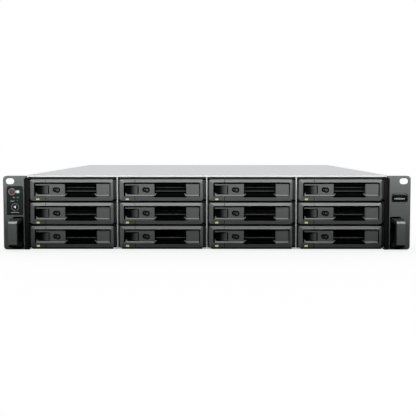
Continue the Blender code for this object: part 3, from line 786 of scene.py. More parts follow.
def build_bays():
    """Dresses every bay. The first look of each body stands for the body's own node."""
    looks = {
        "tray": (
            ("bezel", bezel_mesh(), BEZEL_PLASTIC),
            ("bezel_seam", seam_mesh(), SHADE_AND_JOINT_BLACK),
            ("pocket_liner", pocket_liner_mesh(), SHADE_AND_JOINT_BLACK),
            ("pocket_back", pocket_back_mesh(), SHADE_AND_JOINT_BLACK),
            ("carrier_front", carrier_front_mesh(), DARK_PLASTIC_AND_SHADE),
            ("hinge_pin", hinge_pin_mesh(), SCREW_BLACK),
            ("lens_well", lens_well_mesh(), LED_DARK),
            ("status_lens", status_lens_mesh(), LED_LIME),
            ("carrier", carrier_mesh(), BLACK_PLASTIC_AND_SHADE),
            ("drive_case", drive_case_mesh(), DIE_CAST),
            ("drive_lid", drive_lid_mesh(), LID_STEEL),
            ("drive_label", drive_label_mesh(), LABEL_WHITE),
            ("drive_screws", drive_screws_mesh(), SCREW_STEEL),
            ("drive_board", drive_board_mesh(), BOARD),
        ),
        "lever": (
            ("pull_lever", lever_mesh(), LEVER_PLASTIC),
            ("lever_lip", lip_mesh(), LIP_PAINTED_HIGHLIGHT),
            ("lever_bars", lever_bars_mesh(), BAR_PLASTIC),
            ("lever_channel", lever_channel_mesh(), SHADE_AND_JOINT_BLACK),
            ("lock_surround", lock_surround_mesh(), SHADE_AND_JOINT_BLACK),
            ("key_lock", lock_mesh(), LOCK_GREY),
        ),
        "latch_button": (("button_cap", button_mesh(), LATCH_PAINTED_REFLECTION),),
    }
    for bay in BAYS:
        origin = bay_origin(bay)
        for body, kinds in looks.items():
            node = f"{body}_{bay}"
            for i, (kind, mesh, material) in enumerate(kinds):
                piece(f"{kind}_{bay}", mesh, material, node, origin, () if i else (node,))


# ---- rack ears ------------------------------------------------------------------------------
SLOT_AT, SLOT_SIZE = (0.2325, TOP - 0.0068), (0.0102, 0.0070)
EAR_TOP = EAR_HIGH.z - 0.0006
EAR_BACK = BODY_FRONT + 0.0002
WELL = (0.2168, 0.2300, 0.0014, 0.0392)          # finger well behind the handle: x, x, z, z
WELL_DEPTH = 0.0100
HANDLE_IN, HANDLE_OUT = 0.2207, 0.2309           # the bar's sides at its front
LABEL_SEAT = (0.2183, 0.2376, 0.0547, 0.0666)


def ear_ring(x0, x1, z0, z1, radius, y):
    """The ear's outline: full corners on the outer side, nearly square ones on the inner."""
    inner = 0.0008
    return rounded_ring(x0, x1, z0, z1, (inner, radius, radius, inner), y, 6)


def slot_cutter(grow, front, back):
    x, z = SLOT_AT
    w, h = SLOT_SIZE[0] / 2 + grow, SLOT_SIZE[1] / 2 + grow
    return loft([rounded_ring(x - w, x + w, z - h, z + h, h - 1e-5, y, 8) for y in (front, back)])


def seat_cutter(rect, radius, depth, flare):
    """A shallow recess in the ear's face whose rim is chamfered."""
    return loft([
        inset(rect, -flare, radius + flare, EAR_FACE - 0.0003), inset(rect, 0, radius, EAR_FACE + flare),
        inset(rect, 0, radius, EAR_FACE + depth),
    ])


def ear_shell():
    """Moulded front of the right ear, rounded along its outer edge, with rack slot and finger well."""
    x0, x1, z0, z1 = EAR_LOW.x, EAR_HIGH.x, EAR_LOW.z, EAR_TOP
    shell = loft([
        ear_ring(x0 + other, x1 - outer, z0 + other, z1 - other, 0.0036, y)
        for outer, other, y in (
            (0, 0, EAR_BACK), (0, 0, EAR_FACE + 0.0020), (0.0002, 0.0001, EAR_FACE + 0.0010),
            (0.0009, 0.0004, EAR_FACE + 0.0003), (0.0018, 0.0008, EAR_FACE),
        )
    ])
    x, z = SLOT_AT
    hollow = box((x - 0.0085, EAR_FACE + 0.0020, z - 0.0058), (x1 - 0.0006, EAR_BACK + 0.001, z + 0.0052))
    x0, x1, z0, z1 = WELL
    well = loft([rounded_ring(x0, x1, z0, z1, 0.0016, EAR_FACE + y) for y in (-0.001, WELL_DEPTH)])
    foot_low = box(
        (HANDLE_LOW.x + 0.0003, EAR_FACE + 0.0004, HANDLE_LOW.z), (0.2312, EAR_FACE + WELL_DEPTH, 0.0055)
    )
    shell = cut(shell, slot_cutter(0, EAR_FACE - 0.002, EAR_FACE + 0.01), hollow, well)
    ledge = box((x0 - 0.0003, EAR_FACE + 0.0030, 0.0138), (x1 + 0.0003, EAR_BACK, 0.0156))
    inner, top = EAR_LOW.x, EAR_TOP - 0.0001
    outline = [(inner - 0.0022, top), (inner + 0.0010, top)]
    outline += [(inner + 0.0010, top - 0.0044), (inner - 0.0022, top - 0.0010)]
    shoulder = prism(outline, EAR_FACE + 0.0005, EAR_FACE + 0.0060, "Y")
    return gather(shell, ledge, foot_low, shoulder)


def in_well(face):
    x0, x1, z0, z1 = WELL
    c, slack = face.center, 0.0004
    inside = x0 - slack < c.x < x1 + slack and z0 - slack < c.z < z1 + slack
    return inside and c.y > EAR_FACE + 0.0004


def faces_inward(face):
    return face.normal.x < -0.6


def ear_paint(mesh):
    # The finger well and the ear's inward side beside the trays are painted black: painted shade.
    black = lambda face: in_well(face) or (faces_inward(face) and face.center.x < EAR_LOW.x + 0.0006)
    return paint(mesh, (EAR_PLASTIC, lambda face: True), (BLACK_PLASTIC_AND_SHADE, black))


def bracket_mesh():
    """Steel bracket behind the ear's moulding, bent back along the body's side."""
    wall = loft([
        ear_ring(EAR_LOW.x + 0.0002, EAR_HIGH.x - 0.0008, 0.0008, EAR_TOP - 0.0004, 0.0030, y)
        for y in (EAR_BACK + 0.0001, EAR_BACK + 0.0017)
    ])
    x, z = SLOT_AT
    hole = box((x - 0.0085, -0.3, z - 0.0058), (EAR_HIGH.x + 0.001, -0.2, z + 0.0052))
    start, end, low, high, r = EAR_BACK + 0.0008, EAR_HIGH.y - 0.0002, 0.0062, TOP - 0.0062, 0.0060
    outline = [(start, low)] + arc_points(end - r, low + r, r, 270, 360, 6)
    outline += arc_points(end - r, high - r, r, 0, 90, 6) + [(start, high)]
    leg = prism(outline, EAR_LOW.x + 0.0001, EAR_LOW.x + 0.0015)
    return take(soften(union(cut(wall, hole), leg), 0.0002, 1))


def cross_screw(at, low, high, radius=0.0030, axis="X"):
    """A low round head with a cross in it. Its outer face is at high."""
    a, b = at
    head = rod(at, radius, low, high, axis, 28, radius * 0.86)
    half, length = radius * 0.13, radius * 0.55
    depth = abs(high - low) * 0.6
    arms = []
    for p, q in ((half, length), (length, half)):
        bounds = {
            "X": ((high - depth, a - p, b - q), (high + depth, a + p, b + q)),
            "Y": ((a - p, high - depth, b - q), (a + p, high + depth, b + q)),
            "Z": ((a - p, b - q, high - depth), (a + p, b + q, high + depth)),
        }[axis]
        arms.append(box(*bounds))
    return cut(head, *arms)


def side_screw_mesh():
    """Screws through the bracket into the body."""
    x = EAR_LOW.x + 0.0015
    spots = [(BODY_FRONT + y, z) for y in (0.018, 0.056) for z in (0.018, 0.044, 0.070)]
    return merged([cross_screw(spot, x - 0.0004, x + 0.0005) for spot in spots])


def handle_mesh():
    """Pull handle: a C in side view whose arms lean in towards the bar, with a steep chamfer on top."""
    foot, front = EAR_FACE - 0.0001, HANDLE_LOW.y
    well = EAR_FACE + 0.0040
    outline = [
        (well, 0.0028), (front + 0.0028, 0.0046), (front, 0.0074), (front, 0.0328), (front + 0.0023, 0.0351),
        (foot, 0.0372), (well, 0.0374), (well, 0.0332), (front + 0.0062, 0.0310), (front + 0.0062, 0.0112),
        (well, 0.0070),
    ]

    def across(y, side):
        bar = front + 0.0036
        share = min(1.0, max(0.0, (y - bar) / (foot - bar)))
        wide = (HANDLE_LOW.x + 0.0002, HANDLE_HIGH.x - 0.0002)[side]
        return lerp((HANDLE_IN, HANDLE_OUT)[side], wide, share)

    obj = loft([[Vector((across(y, side), y, z)) for y, z in outline] for side in (0, 1)])
    mesh = take(soften(obj, 0.0005, 3), 30)
    # Painted light on the handle: the top chamfer in a lighter plastic is a painted highlight; faces looking
    # up along the arms and faces turned inward are painted dark as painted shade.
    chamfer = lambda face: face.normal.z > 0.45 and face.normal.y < -0.35
    return paint(
        mesh, (HANDLE_PLASTIC, lambda face: True), (DARK_PLASTIC_AND_SHADE, lambda face: face.normal.z > 0.75),
        (HANDLE_PAINTED_HIGHLIGHT, chamfer), (BLACK_PLASTIC_AND_SHADE, faces_inward)
    )


def handle_groove_shade_mesh():
    """Dark strip along the top of the chamfer: painted shade standing for a groove."""
    front = HANDLE_LOW.y
    outline = ((0.0023, 0.0347), (0.0022, 0.0353), (0.0038, 0.0357), (0.0038, 0.0347))
    return take(prism([(front + y, z) for y, z in outline], HANDLE_IN + 0.0001, HANDLE_OUT - 0.0001))


def flank_strip_mesh():
    """Black strip beside the outer trays, over the front edge of the body's side wall."""
    front, back = BODY_FRONT - 0.0022, BODY_FRONT - 0.0002
    return take(plate(0.2123, EAR_LOW.x + 0.0001, 0.0006, TOP - 0.0026, 0.0003, front, back))


def build_ears():
    right, left = ear_shell(), ear_shell()
    right = cut(right, seat_cutter(LABEL_SEAT, 0.0034, 0.0014, 0.0004))
    fascia = (-FASCIA_HIGH.x - 0.0003, -FASCIA_LOW.x + 0.0003, FASCIA_LOW.z - 0.0003, FASCIA_HIGH.z + 0.0003)
    left = cut(left, seat_cutter(fascia, 0.0019, 0.0014, 0.0005))
    right_mesh, left_mesh = (ear_paint(take(soften(ear, 0.0002, 2))) for ear in (right, left))
    piece("ear_cover_right", right_mesh, EAR_PLASTIC, "chassis", replaces=("right_ear",))
    piece("ear_cover_left", mirrored(left_mesh), EAR_PLASTIC, "chassis", replaces=("left_ear",))
    for name, mesh, material, node in (
        ("pull_handle", handle_mesh(), EAR_PLASTIC, "handle"),
        ("handle_groove", handle_groove_shade_mesh(), DARK_PRINT_AND_SHADE, None),
        ("ear_bracket", bracket_mesh(), BRACKET_STEEL, None),
        ("ear_screws", side_screw_mesh(), SCREW_BLACK, None),
        ("flank_strip", flank_strip_mesh(), BLACK_PLASTIC_AND_SHADE, None),
    ):
        for side, made in (("right", mesh), ("left", mirrored(mesh))):
            piece(f"{name}_{side}", made, material, "chassis", replaces=(f"{side}_{node}",) if node else ())


def build_label_plate():
    """Black plate in the right ear with a row of plain blocks on it, over a dark ledge."""
    x0, x1, z0, z1 = LABEL_SEAT
    back = EAR_FACE + 0.0014
    mesh = take(plate(x0 + 0.0004, x1 - 0.0004, z0 + 0.0022, z1 - 0.0014, 0.0030, EAR_FACE + 0.0004, back))
    piece("label_plate", mesh, GLOSS_BLACK)
    section = [(back, z0), (EAR_FACE + 0.0002, z0), (EAR_FACE + 0.0011, z0 + 0.0021), (back, z0 + 0.0021)]
    piece("label_ledge", take(prism(section, x0 + 0.0022, x1 - 0.0022)), DARK_PLASTIC_AND_SHADE)
    # The rim along the top of the label's seat is a lighter strip: painted highlight.
    rim = plate(x0 + 0.0026, x1 - 0.0026, z1 - 0.0012, z1 - 0.0002, 0.0004, EAR_FACE + 0.0001, back)
    piece("label_rim", take(rim), LIP_PAINTED_HIGHLIGHT)
    marks = []
    for i in range(7):
        x = x0 + 0.0035 + i * 0.0018
        marks.append(
            plate(x, x + 0.0012, 0.0597, 0.0614, 0.0003, EAR_FACE + 0.00032, EAR_FACE + 0.0008, 0.00003, 2)
        )
    piece("label_marks", merged(marks), PRINT_LIGHT)


# ---- front edges of the body ------------------------------------------------------------------
def build_front_edges():
    """The cover's folded edge, the dividers' painted edges, the floor's lip, and black strips of painted
    shadow in the gaps between rows.
    """
    front, back = BODY_FRONT, BODY_FRONT - 0.0002
    half = -COVER_LOW.x - 0.0002
    hem = box((-half, front - 0.0003, TOP - 0.0021), (half, front + 0.0001, TOP - 0.0001))
    piece("cover_hem", take(soften(hem, 0.00012)), HEM_COAT)
    seams = [(i - COLUMNS / 2) * PITCH_X for i in range(COLUMNS + 1)]
    edges = [
        plate(x - 0.0006, x + 0.0006, 0.0005, TOP - 0.0024, 0.0003, front - 0.0021, front - 0.0018, 0.0001, 2)
        for x in seams[1:-1]
    ]
    piece("divider_edges", merged(edges), EDGE_COAT)
    lips = []
    for x in seams:
        low_x, high_x = max(x - 0.0050, -FOOT_INNER), min(x + 0.0050, FOOT_INNER)
        lips.append(box((low_x, front - 0.0046, 0.0001), (high_x, back, 0.0012)))
    piece("floor_lip", merged(lips, 0.0002, 1), HEM_COAT)
    # Black strips of painted shadow: in the gaps between rows, above the top row, under the bottom row and
    # beside the ears' feet.
    strips = []
    levels = [(bay_origin(f"r{row}c1").z - 0.0014, bay_origin(f"r{row}c1").z + 0.0004) for row in (1, 2)]
    levels.append((TOP - 0.0040, TOP - 0.0024))
    for column in range(1, COLUMNS + 1):
        x = bay_origin(f"r1c{column}").x
        for z0, z1 in levels:
            strips.append(box((x - 0.0522, front - 0.0012, z0), (x + 0.0522, front - 0.0004, z1)))
        strips.append(box((x - 0.0480, front - 0.0052, 0.0), (x + 0.0480, back, 0.0012)))
    for side in (-1, 1):
        ends = span(side, FOOT_INNER + 0.0001, EAR_LOW.x - 0.0001)
        strips.append(box((ends[0], EAR_FACE + 0.0004, 0.0), (ends[1], back, 0.0010)))
    piece("gap_strips", merged(strips), BLACK_PLASTIC_AND_SHADE)


# ---- controls on the left ear ---------------------------------------------------------------
def disc_with_hole(at, radius, hole, front, back):
    return cut(rod(at, radius, front, back, "Y", 40), rod(at, hole, front - 0.001, back + 0.001, "Y", 40))


def round_ring(at, radius, y):
    """Forty points round a circle that faces -Y."""
    return [Vector((x, y, z)) for x, z in arc_points(*at, radius, 0, 351, 39)]


def power_sign(x, z, front, back):
    """A broken round with a stroke in its gap."""
    arc = arc_points(x, z, 0.0018, 125, 415, 18) + arc_points(x, z, 0.0013, 415, 125, 18)
    stem = plate(x - 0.00028, x + 0.00028, z + 0.0003, z + 0.0021, 0.0002, front, back, 0.00005, 2)
    return gather(prism(arc, front, back, "Y"), stem)


def horn_sign(x, z, front, back):
    """A small horn that opens to the right."""
    left, neck, mouth, wide = x - 0.0015, x - 0.0007, x + 0.0007, 0.0017
    low, high = z - 0.0005, z + 0.0005
    horn = [(left, low), (neck, low), (mouth, z - wide), (mouth, z + wide), (neck, high), (left, high)]
    return prism(horn, front, back, "Y")


def build_controls():
    """Fascia with its two buttons, each a ring, a cap and a sign, the status lights and plain marks."""
    (x0, front, z0), (x1, back, z1) = FASCIA_LOW, FASCIA_HIGH
    fascia = plate(x0, x1, z0, z1, 0.0016, front, back, 0.0002)
    holes, spots = [], {}
    for body in ("power_button", "mute_button"):
        low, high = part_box(body)
        at, radius = ((low.x + high.x) / 2, (low.z + high.z) / 2), (high.x - low.x) / 2
        spots[body] = (at, radius, low.y)
        holes.append(rod(at, radius + 0.0002, front - 0.001, front + 0.003, "Y", 40))
    panel = take(soften(cut(fascia, *holes), 0.0001, 1))
    piece("fascia_panel", panel, FASCIA_GLOSS, replaces=("control_fascia",))
    for name, ring_wall, cap_wall, ring_finish, cap_finish, sign, sign_finish in (
        ("power", 0.0008, 0.0008, RING_GREY, BUTTON_RED, power_sign, SIGN_RED),
        ("mute", 0.0006, 0.0007, BUTTON_GREY, FASCIA_GLOSS, horn_sign, SIGN_WHITE),
    ):
        body = f"{name}_button"
        at, radius, face = spots[body]
        ring = take(soften(disc_with_hole(at, radius, radius - ring_wall, face, face + 0.0075), 0.0001, 1))
        piece(f"{name}_ring", ring, ring_finish, body, replaces=(body,))
        side = radius - cap_wall
        levels = ((side, 0.006), (side, 0.0004), (side - 0.0005, 0.0001), (0.0006, 0.0003))
        cap = loft([round_ring(at, r, face + y) for r, y in levels])
        piece(f"{name}_cap", take(cap, 50), cap_finish, body)
        piece(f"{name}_glyph", take(sign(*at, face + 0.00005, face + 0.0006)), sign_finish, body)
    face, deep = front - 0.00005, front + 0.0004
    icon = plate(-0.2250, -0.2214, 0.0671, 0.0705, 0.0008, face - 0.0001, deep, 0.0001)
    link = plate(-0.2264, -0.2248, 0.0679, 0.0697, 0.0003, face - 0.00005, deep, 0.00005)
    piece("power_status", merged([icon, link]), LED_WHITE)
    light = plate(-0.2247, -0.2222, 0.0613, 0.0625, 0.0003, face, deep, 0.00005)
    piece("drive_status", take(light), LED_GREEN)
    strokes = [
        plate(*stroke, face, front + 0.0003, 0.00003)
        for stroke in (
            (-0.2292, -0.2268, 0.0615, 0.0622, 0.0002), (-0.2322, -0.2276, 0.0572, 0.0579, 0.0002),
            (-0.2252, -0.2236, 0.0575, 0.0580, 0.0002), (-0.2315, -0.2222, 0.0440, 0.0447, 0.0003),
        )
    ]
    piece("fascia_marks", merged(strokes), PRINT_LIGHT)


# ---- rear panel ---------------------------------------------------------------------------------
PANEL_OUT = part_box("rear_panel")[1].y            # outer face of the panel
PORTS_LOW, PORTS_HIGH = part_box("port_block")
LAN_XS, USB_X = (0.045, 0.063, 0.081, 0.099), 0.022
BLANKS = ((-0.0990, 0.0455), (-0.0990, 0.0660))  # lower left corners of the two card-slot covers
BLANK_SIZE = (0.0870, 0.0170)


def frame_round(x0, x1, z0, z1, width, back, proud):
    """A raised frame round an opening, on a face that looks to +Y."""
    outer = box((x0 - width, back, z0 - width), (x1 + width, back + proud, z1 + width))
    return cut(outer, box((x0, back - 0.001, z0), (x1, back + proud + 0.001, z1)))


def card_blank(x, z):
    """A slot cover with a row of upright air slots and a bent tab for its screw."""
    w, h = BLANK_SIZE
    cover = box((x, PANEL_OUT, z), (x + w, PANEL_OUT + 0.0010, z + h))
    slots = []
    for i in range(17):
        left = x + 0.0090 + 0.0042 * i
        slots.append(
            box((left, PANEL_OUT + 0.0002, z + 0.0034), (left + 0.0022, PANEL_OUT + 0.002, z + h - 0.0034))
        )
    tab = box((x - 0.0085, PANEL_OUT, z + 0.0030), (x + 0.0005, PANEL_OUT + 0.0010, z + h - 0.0030))
    return soften(union(cut(cover, *slots), tab), 0.0002, 1)


def build_rear_panel():
    """Slot covers, socket fittings, screws, console socket and printed marks on the rear panel."""
    piece("card_slot_covers", merged([card_blank(x, z) for x, z in BLANKS]), ZINC)
    x0, x1, z0, z1 = PORTS_LOW.x, PORTS_HIGH.x, PORTS_LOW.z, PORTS_HIGH.z
    back, gap = PORTS_HIGH.y, 0.0008
    window = frame_round(x0 - gap, x1 + gap, z0 - gap, z1 + gap, 0.0016, PANEL_OUT, 0.0005)
    piece("port_frame", take(soften(window, 0.0002, 1)), ZINC)
    low, high = z0 + 0.0027, z0 + 0.0112
    contacts, collars, tongues = [], [], []
    for x in LAN_XS:
        for i in range(8):
            px = x - 0.0036 + 0.00102 * i
            contacts.append(
                box((px - 0.0002, back - 0.0120, high - 0.0030), (px + 0.0002, back - 0.0030, high - 0.0022))
            )
        collars.append(
            frame_round(x - 0.0059, x + 0.0059, low + 0.0001, high - 0.0001, 0.0008, back - 0.0004, 0.0007)
        )
    for z in (z0 + 0.0041, z0 + 0.0116):
        tongues.append(box((USB_X - 0.0056, back - 0.0130, z), (USB_X + 0.0056, back - 0.0012, z + 0.0018)))
    piece("network_contacts", merged(contacts), GOLD)
    piece("network_collars", merged(collars), BLACK_PLASTIC_AND_SHADE)
    for name, start, finish in (("green", -0.0058, LED_GREEN), ("lime", 0.0036, LED_LIME)):
        lights = [
            box((x + start, back - 0.0006, high + 0.0005), (x + start + 0.0022, back + 0.0002, high + 0.0020))
            for x in LAN_XS
        ]
        piece(f"network_lights_{name}", merged(lights, 0.0002), finish)
    piece("usb_tongues", merged(tongues, 0.0002, 1), LATCH_BLUE)
    spots = [(x, 0.0815, 0.0011) for x in (-0.190, -0.105, -0.0035, 0.062, 0.128)]
    spots += [(x, 0.0060, 0.0011) for x in (-0.190, -0.105, -0.020, 0.128)]
    spots += [(x - 0.0045, z + BLANK_SIZE[1] / 2, 0.0021) for x, z in BLANKS]
    heads = [cross_screw((x, z), PANEL_OUT - 0.0004, PANEL_OUT + proud, 0.0029, "Y") for x, z, proud in spots]
    piece("rear_screws", merged(heads), SCREW_STEEL)
    sockets = [
        cut(rod((x, 0.0150), radius, PANEL_OUT - 0.0002, PANEL_OUT + proud, "Y", sides),
            rod((x, 0.0150), hole, PANEL_OUT, PANEL_OUT + 0.003, "Y", hole_sides))
        for x, radius, hole, proud, sides, hole_sides in (
            (-0.0300, 0.0042, 0.0018, 0.0012, 32, 24), (-0.0160, 0.0022, 0.0009, 0.0006, 24, 16),
        )
    ]
    piece("console_socket", merged(sockets), BLACK_PLASTIC_AND_SHADE)
    rows = ((LAN_XS + (USB_X,), 0.0030, 0.0262, 0.0268), ((-0.030, -0.016), 0.0016, 0.0205, 0.0210))
    marks = [
        box((x - half, PANEL_OUT, low), (x + half, PANEL_OUT + 0.00012, high))
        for xs, half, low, high in rows for x in xs
    ]
    piece("panel_marks", merged(marks), DARK_PRINT_AND_SHADE)
    knobs = [knurled_knob((x, 0.0320), PANEL_OUT, PANEL_OUT + 0.0075) for x in (-0.150, 0.100)]
    piece("thumb_screws", merged(knobs), SCREW_STEEL)


def knurled_knob(at, low, high):
    """A thumbscrew's head with a fluted rim and a cross in its end."""
    (x, z), radius, steps = at, 0.0045, 48
    levels = ((low, 0.62), (low + 0.0014, 0.62), (low + 0.0016, 0.94), (low + 0.0022, 1.0))
    rings = []
    for y, scale in levels + ((high - 0.0008, 1.0), (high, 0.86)):
        ring = []
        for i in range(steps):
            angle = math.tau * i / steps
            r = radius * scale * (1.0 if i % 2 else 0.93)
            ring.append(Vector((x + r * math.cos(angle), y, z + r * math.sin(angle))))
        rings.append(ring)
    arms = [
        box((x - p, high - 0.0009, z - q), (x + p, high + 0.001, z + q))
        for p, q in ((0.0005, 0.0022), (0.0022, 0.0005))
    ]
    return cut(loft(rings), *arms)


# ---- power supplies -----------------------------------------------------------------------------
def shrunk_box(low, high, y0, y1, by):
    """A box between two corners' x and z, drawn in by a margin, from y0 to y1."""
    return box((low.x + by, y0, low.z + by), (high.x - by, y1, high.z - by))


def build_power_supplies():
    """Inlet, vent holes drawn as dark discs of painted shade, rim, light, label and latch ridges of each
    power supply.
    """
    for level in ("upper", "lower"):
        body = f"psu_{level}"
        low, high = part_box(body)
        z, face = (low.z + high.z) / 2, REAR - 0.0015
        back = face - 0.0158
        inlet = Vector((0.1430, 0, z - 0.0095)), Vector((0.1675, 0, z + 0.0095))
        outer = shrunk_box(*inlet, back, face + 0.0010, 0.0002)
        liner = cut(outer, shrunk_box(*inlet, back + 0.0012, face + 0.003, 0.0014))
        piece(f"inlet_shell_{level}", take(soften(liner, 0.0003)), BLACK_PLASTIC_AND_SHADE, body)
        middle = (inlet[0].x + inlet[1].x) / 2
        pins = []
        for dx, dz in ((-0.0070, -0.0018), (0.0, 0.0022), (0.0070, -0.0018)):
            px, pz = middle + dx, z + dz
            pins.append(
                box((px - 0.0010, back + 0.001, pz - 0.0020), (px + 0.0010, face - 0.0025, pz + 0.0020))
            )
        piece(f"inlet_pins_{level}", merged(pins, 0.0003), SCREW_STEEL, body)
        # Dark discs on the face stand for the vent holes: painted shade.
        vent_shades = []
        for row in range(3):
            for side in (-1, 1):
                for i in range(11):
                    x = 0.1425 + 0.0056 * i + (0.0028 if row % 2 else 0.0)
                    vent_z = z + side * (0.0121 + 0.0027 * row)
                    if low.x + 0.003 < x < high.x - 0.003:
                        vent_shades.append(rod((x, vent_z), 0.0012, face - 0.0001, face + 0.00016, "Y", 6))
        piece(f"psu_vents_{level}", merged(vent_shades), SHADE_AND_JOINT_BLACK, body)
        outer = shrunk_box(low, high, face, face + 0.0007, 0.0004)
        rim = cut(outer, shrunk_box(low, high, face - 0.001, face + 0.002, 0.0012))
        piece(f"psu_rim_{level}", take(soften(rim, 0.0002, 1)), ZINC, body)
        lens = rod((0.2065, z + 0.0125), 0.0014, face - 0.0001, face + 0.0006, "Y", 20, 0.0011)
        piece(f"psu_light_{level}", take(lens), LED_GREEN, body)
        top = high.z
        label = box((low.x + 0.012, REAR - 0.150, top - 0.00005), (low.x + 0.062, REAR - 0.060, top + 0.0001))
        piece(f"psu_label_{level}", take(label), LABEL_WHITE, body)
        ridges = []
        for i in range(5):
            y = face + 0.0020 + 0.0016 * i
            ridges.append(box((0.2046, y, z - 0.0055), (0.2089, y + 0.0007, z + 0.0068)))
        piece(f"latch_ridges_{level}", merged(ridges, 0.00015, 1), LATCH_BLUE, f"psu_latch_{level}")


# ---- body sheet: rivets, studs and cover screws ---------------------------------------------------
def build_body_details():
    """Rail studs and rivets on the sides, screws in the front cover, raised grips on the rear cover."""
    side = HALF_BODY
    studs = []
    for y in (-0.160, -0.020, 0.120, 0.250):
        stem = rod((y, 0.0440), 0.0022, side - 0.0004, side + 0.0016, "X", 24)
        head = rod((y, 0.0440), 0.0042, side + 0.0014, side + 0.0026, "X", 32, 0.0039)
        studs += [stem, head]
    rivets = [
        rod((BODY_FRONT + 0.090 + 0.058 * i, z), 0.0019, side - 0.0003, side + 0.0005, "X", 20, 0.0012)
        for i in range(8) for z in (0.0060, 0.0820)
    ]
    for name, shapes, material in (("rail_studs", studs, SCREW_STEEL), ("side_rivets", rivets, ZINC)):
        mesh = merged(shapes)
        piece(f"{name}_right", mesh, material)
        piece(f"{name}_left", mirrored(mesh), material)
    heads = [
        cross_screw((x, y), TOP - 0.0004, TOP + 0.00008, 0.0026, "Z")
        for x in (-0.205, -0.070, 0.070, 0.205)
        for y in (BODY_FRONT + 0.012, COVER_HIGH.y - 0.010)
    ]
    piece("front_cover_screws", merged(heads), ZINC)
    grips = []
    levels = ((0, TOP - 0.0003), (0.0002, TOP + 0.00015), (0.0009, TOP + 0.0003))
    for x in (-0.120, 0.120):
        for i in range(4):
            y = 0.205 + 0.006 * i
            grips.append(loft([
                flat_ring(x - 0.020 + by, x + 0.020 - by, y + by, y + 0.0030 - by, 0.0014 - by, z)
                for by, z in levels
            ]))
    piece("cover_grips", merged(grips), POWDER, "rear_cover")


# ---- inside ---------------------------------------------------------------------------------------
def build_board_parts():
    """Memory chips, capacitors, coils, chips, plugs and a coin cell on the main board; fan stickers."""
    board_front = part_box("main_board")[0].y
    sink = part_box("cpu_heatsink")[0]
    top = PORTS_LOW.z - 0.0003
    chips = []
    for i in range(8):
        y = board_front + 0.030 + 0.0165 * i
        chips.append(box((0.0245, y, top + 0.012), (0.0256, y + 0.0115, top + 0.033)))
    for x, y, w, d in (
        (-0.150, 0.060, 0.022, 0.022), (-0.158, 0.130, 0.014, 0.014), (0.080, 0.090, 0.016, 0.016),
        (0.105, 0.200, 0.012, 0.012), (-0.180, 0.190, 0.010, 0.016), (-0.060, 0.175, 0.012, 0.012),
    ):
        chips.append(box((x, y, top - 0.0001), (x + w, y + d, top + 0.0014)))
    piece("board_chips", merged(chips, 0.0002, 1), BLACK_PLASTIC_AND_SHADE)
    cans, coils = [], []
    for i in range(7):
        cans.append(rod((sink.x - 0.012, sink.y + 0.008 + 0.012 * i), 0.0038, top, top + 0.0085, "Z", 20))
        x = sink.x + 0.006 + 0.0118 * i
        coils.append(box((x, sink.y - 0.014, top), (x + 0.009, sink.y - 0.005, top + 0.0065)))
    piece("board_capacitors", merged(cans, 0.0004), ALUMINIUM)
    piece("board_coils", merged(coils, 0.0006), DIE_CAST)
    cell = rod((0.085, 0.150), 0.0100, top + 0.0012, top + 0.0044, "Z", 40)
    piece("coin_cell", take(soften(cell, 0.0004)), LID_STEEL)
    plugs = [
        box((x, board_front + 0.003, top), (x + w, board_front + 0.012, top + 0.011))
        for x, w in ((-0.190, 0.022), (-0.150, 0.014), (-0.125, 0.014), (0.060, 0.022), (0.095, 0.014))
    ]
    piece("board_plugs", merged(plugs, 0.0003, 1), LABEL_WHITE)
    for i in (1, 2, 3):
        rotor = f"fan_rotor_{i}"
        low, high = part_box(rotor)
        middle = ((low.x + high.x) / 2, (low.z + high.z) / 2)
        sticker = rod(middle, 0.0125, low.y - 0.00015, low.y + 0.0001, "Y", 40)
        piece(f"fan_sticker_{i}", take(sticker), LABEL_WHITE, rotor)


# ---- carried-over nodes ---------------------------------------------------------------------
CARRIED = (
    (POWDER, 0.0003, 2, ("chassis_tub", "rear_panel")),
    (POWDER, 0.00045, 3, ("front_cover", "rear_cover")),
    (ZINC, 0.0002, 1, ("drive_cage",)),
    (ZINC, 0.0, 0, ("port_block",)),
    (BOARD, 0.0, 0, ("drive_backplane", "main_board")),
    (ALUMINIUM, 0.0, 0, ("cpu_heatsink",)),
    (ALUMINIUM, 0.0003, 2, ("psu_upper", "psu_lower")),
    (BLACK_PLASTIC_AND_SHADE, 0.0003, 2, ("fan_wall",)),
    (BLACK_PLASTIC_AND_SHADE, 0.0, 0, ("fan_rotor_1", "fan_rotor_2", "fan_rotor_3")),
    (LATCH_BLUE, 0.0006, 3, ("psu_latch_upper", "psu_latch_lower")),
)


def build_carried():
    """Finishes the nodes that are seen as they are: material, and width and steps of the bevel."""
    for material, width, segments, names in CARRIED:
        for name in names:
            node = frame["nodes"][name]
            node.data.materials.clear()
            node.data.materials.append(material)
            if width:
                add_bevel(node, width, segments, 40)


# ---- stage ------------------------------------------------------------------------------------
LENS, SENSOR_WIDTH = 77.76, 36.0
CAMERA_AT = (0.0052, EAR_FACE - 1.0598, TOP + 0.0356)
LOOKS_DOWN, LOOKS_ASIDE = 3.996, 0.199           # degrees


def build_camera():
    """Straight on to the front, from just above the top."""
    camera = linked("camera", bpy.data.cameras.new("camera"))
    camera.data.lens = LENS
    camera.data.sensor_width = SENSOR_WIDTH
    camera.location = CAMERA_AT
    camera.rotation_euler = (math.radians(90 - LOOKS_DOWN), 0, math.radians(LOOKS_ASIDE))
    bpy.context.scene.camera = camera


def build_floor():
    """A wide pale floor that casts no light of its own on the object."""
    floor = linked("floor", take(box((-30, -30, -0.02), (30, 30, -0.0002))))
    material, tree, shader = new_material("pale_floor")
    fill(tree, shader, {
        "Base Color": (0.42, 0.42, 0.42), "Roughness": 0.9, "Specular IOR Level": 0.0,
        "Emission Color": (1, 1, 1), "Emission Strength": 0.82,
    })
    floor.data.materials.append(material)
    floor.visible_diffuse = False
    floor.visible_glossy = False
    return floor


# The sky's light: overhead, from the back, and from both sides behind the front's plane.
OVERHEAD, FROM_BACK, FROM_SIDES = 0.7, 0.62, 1.5


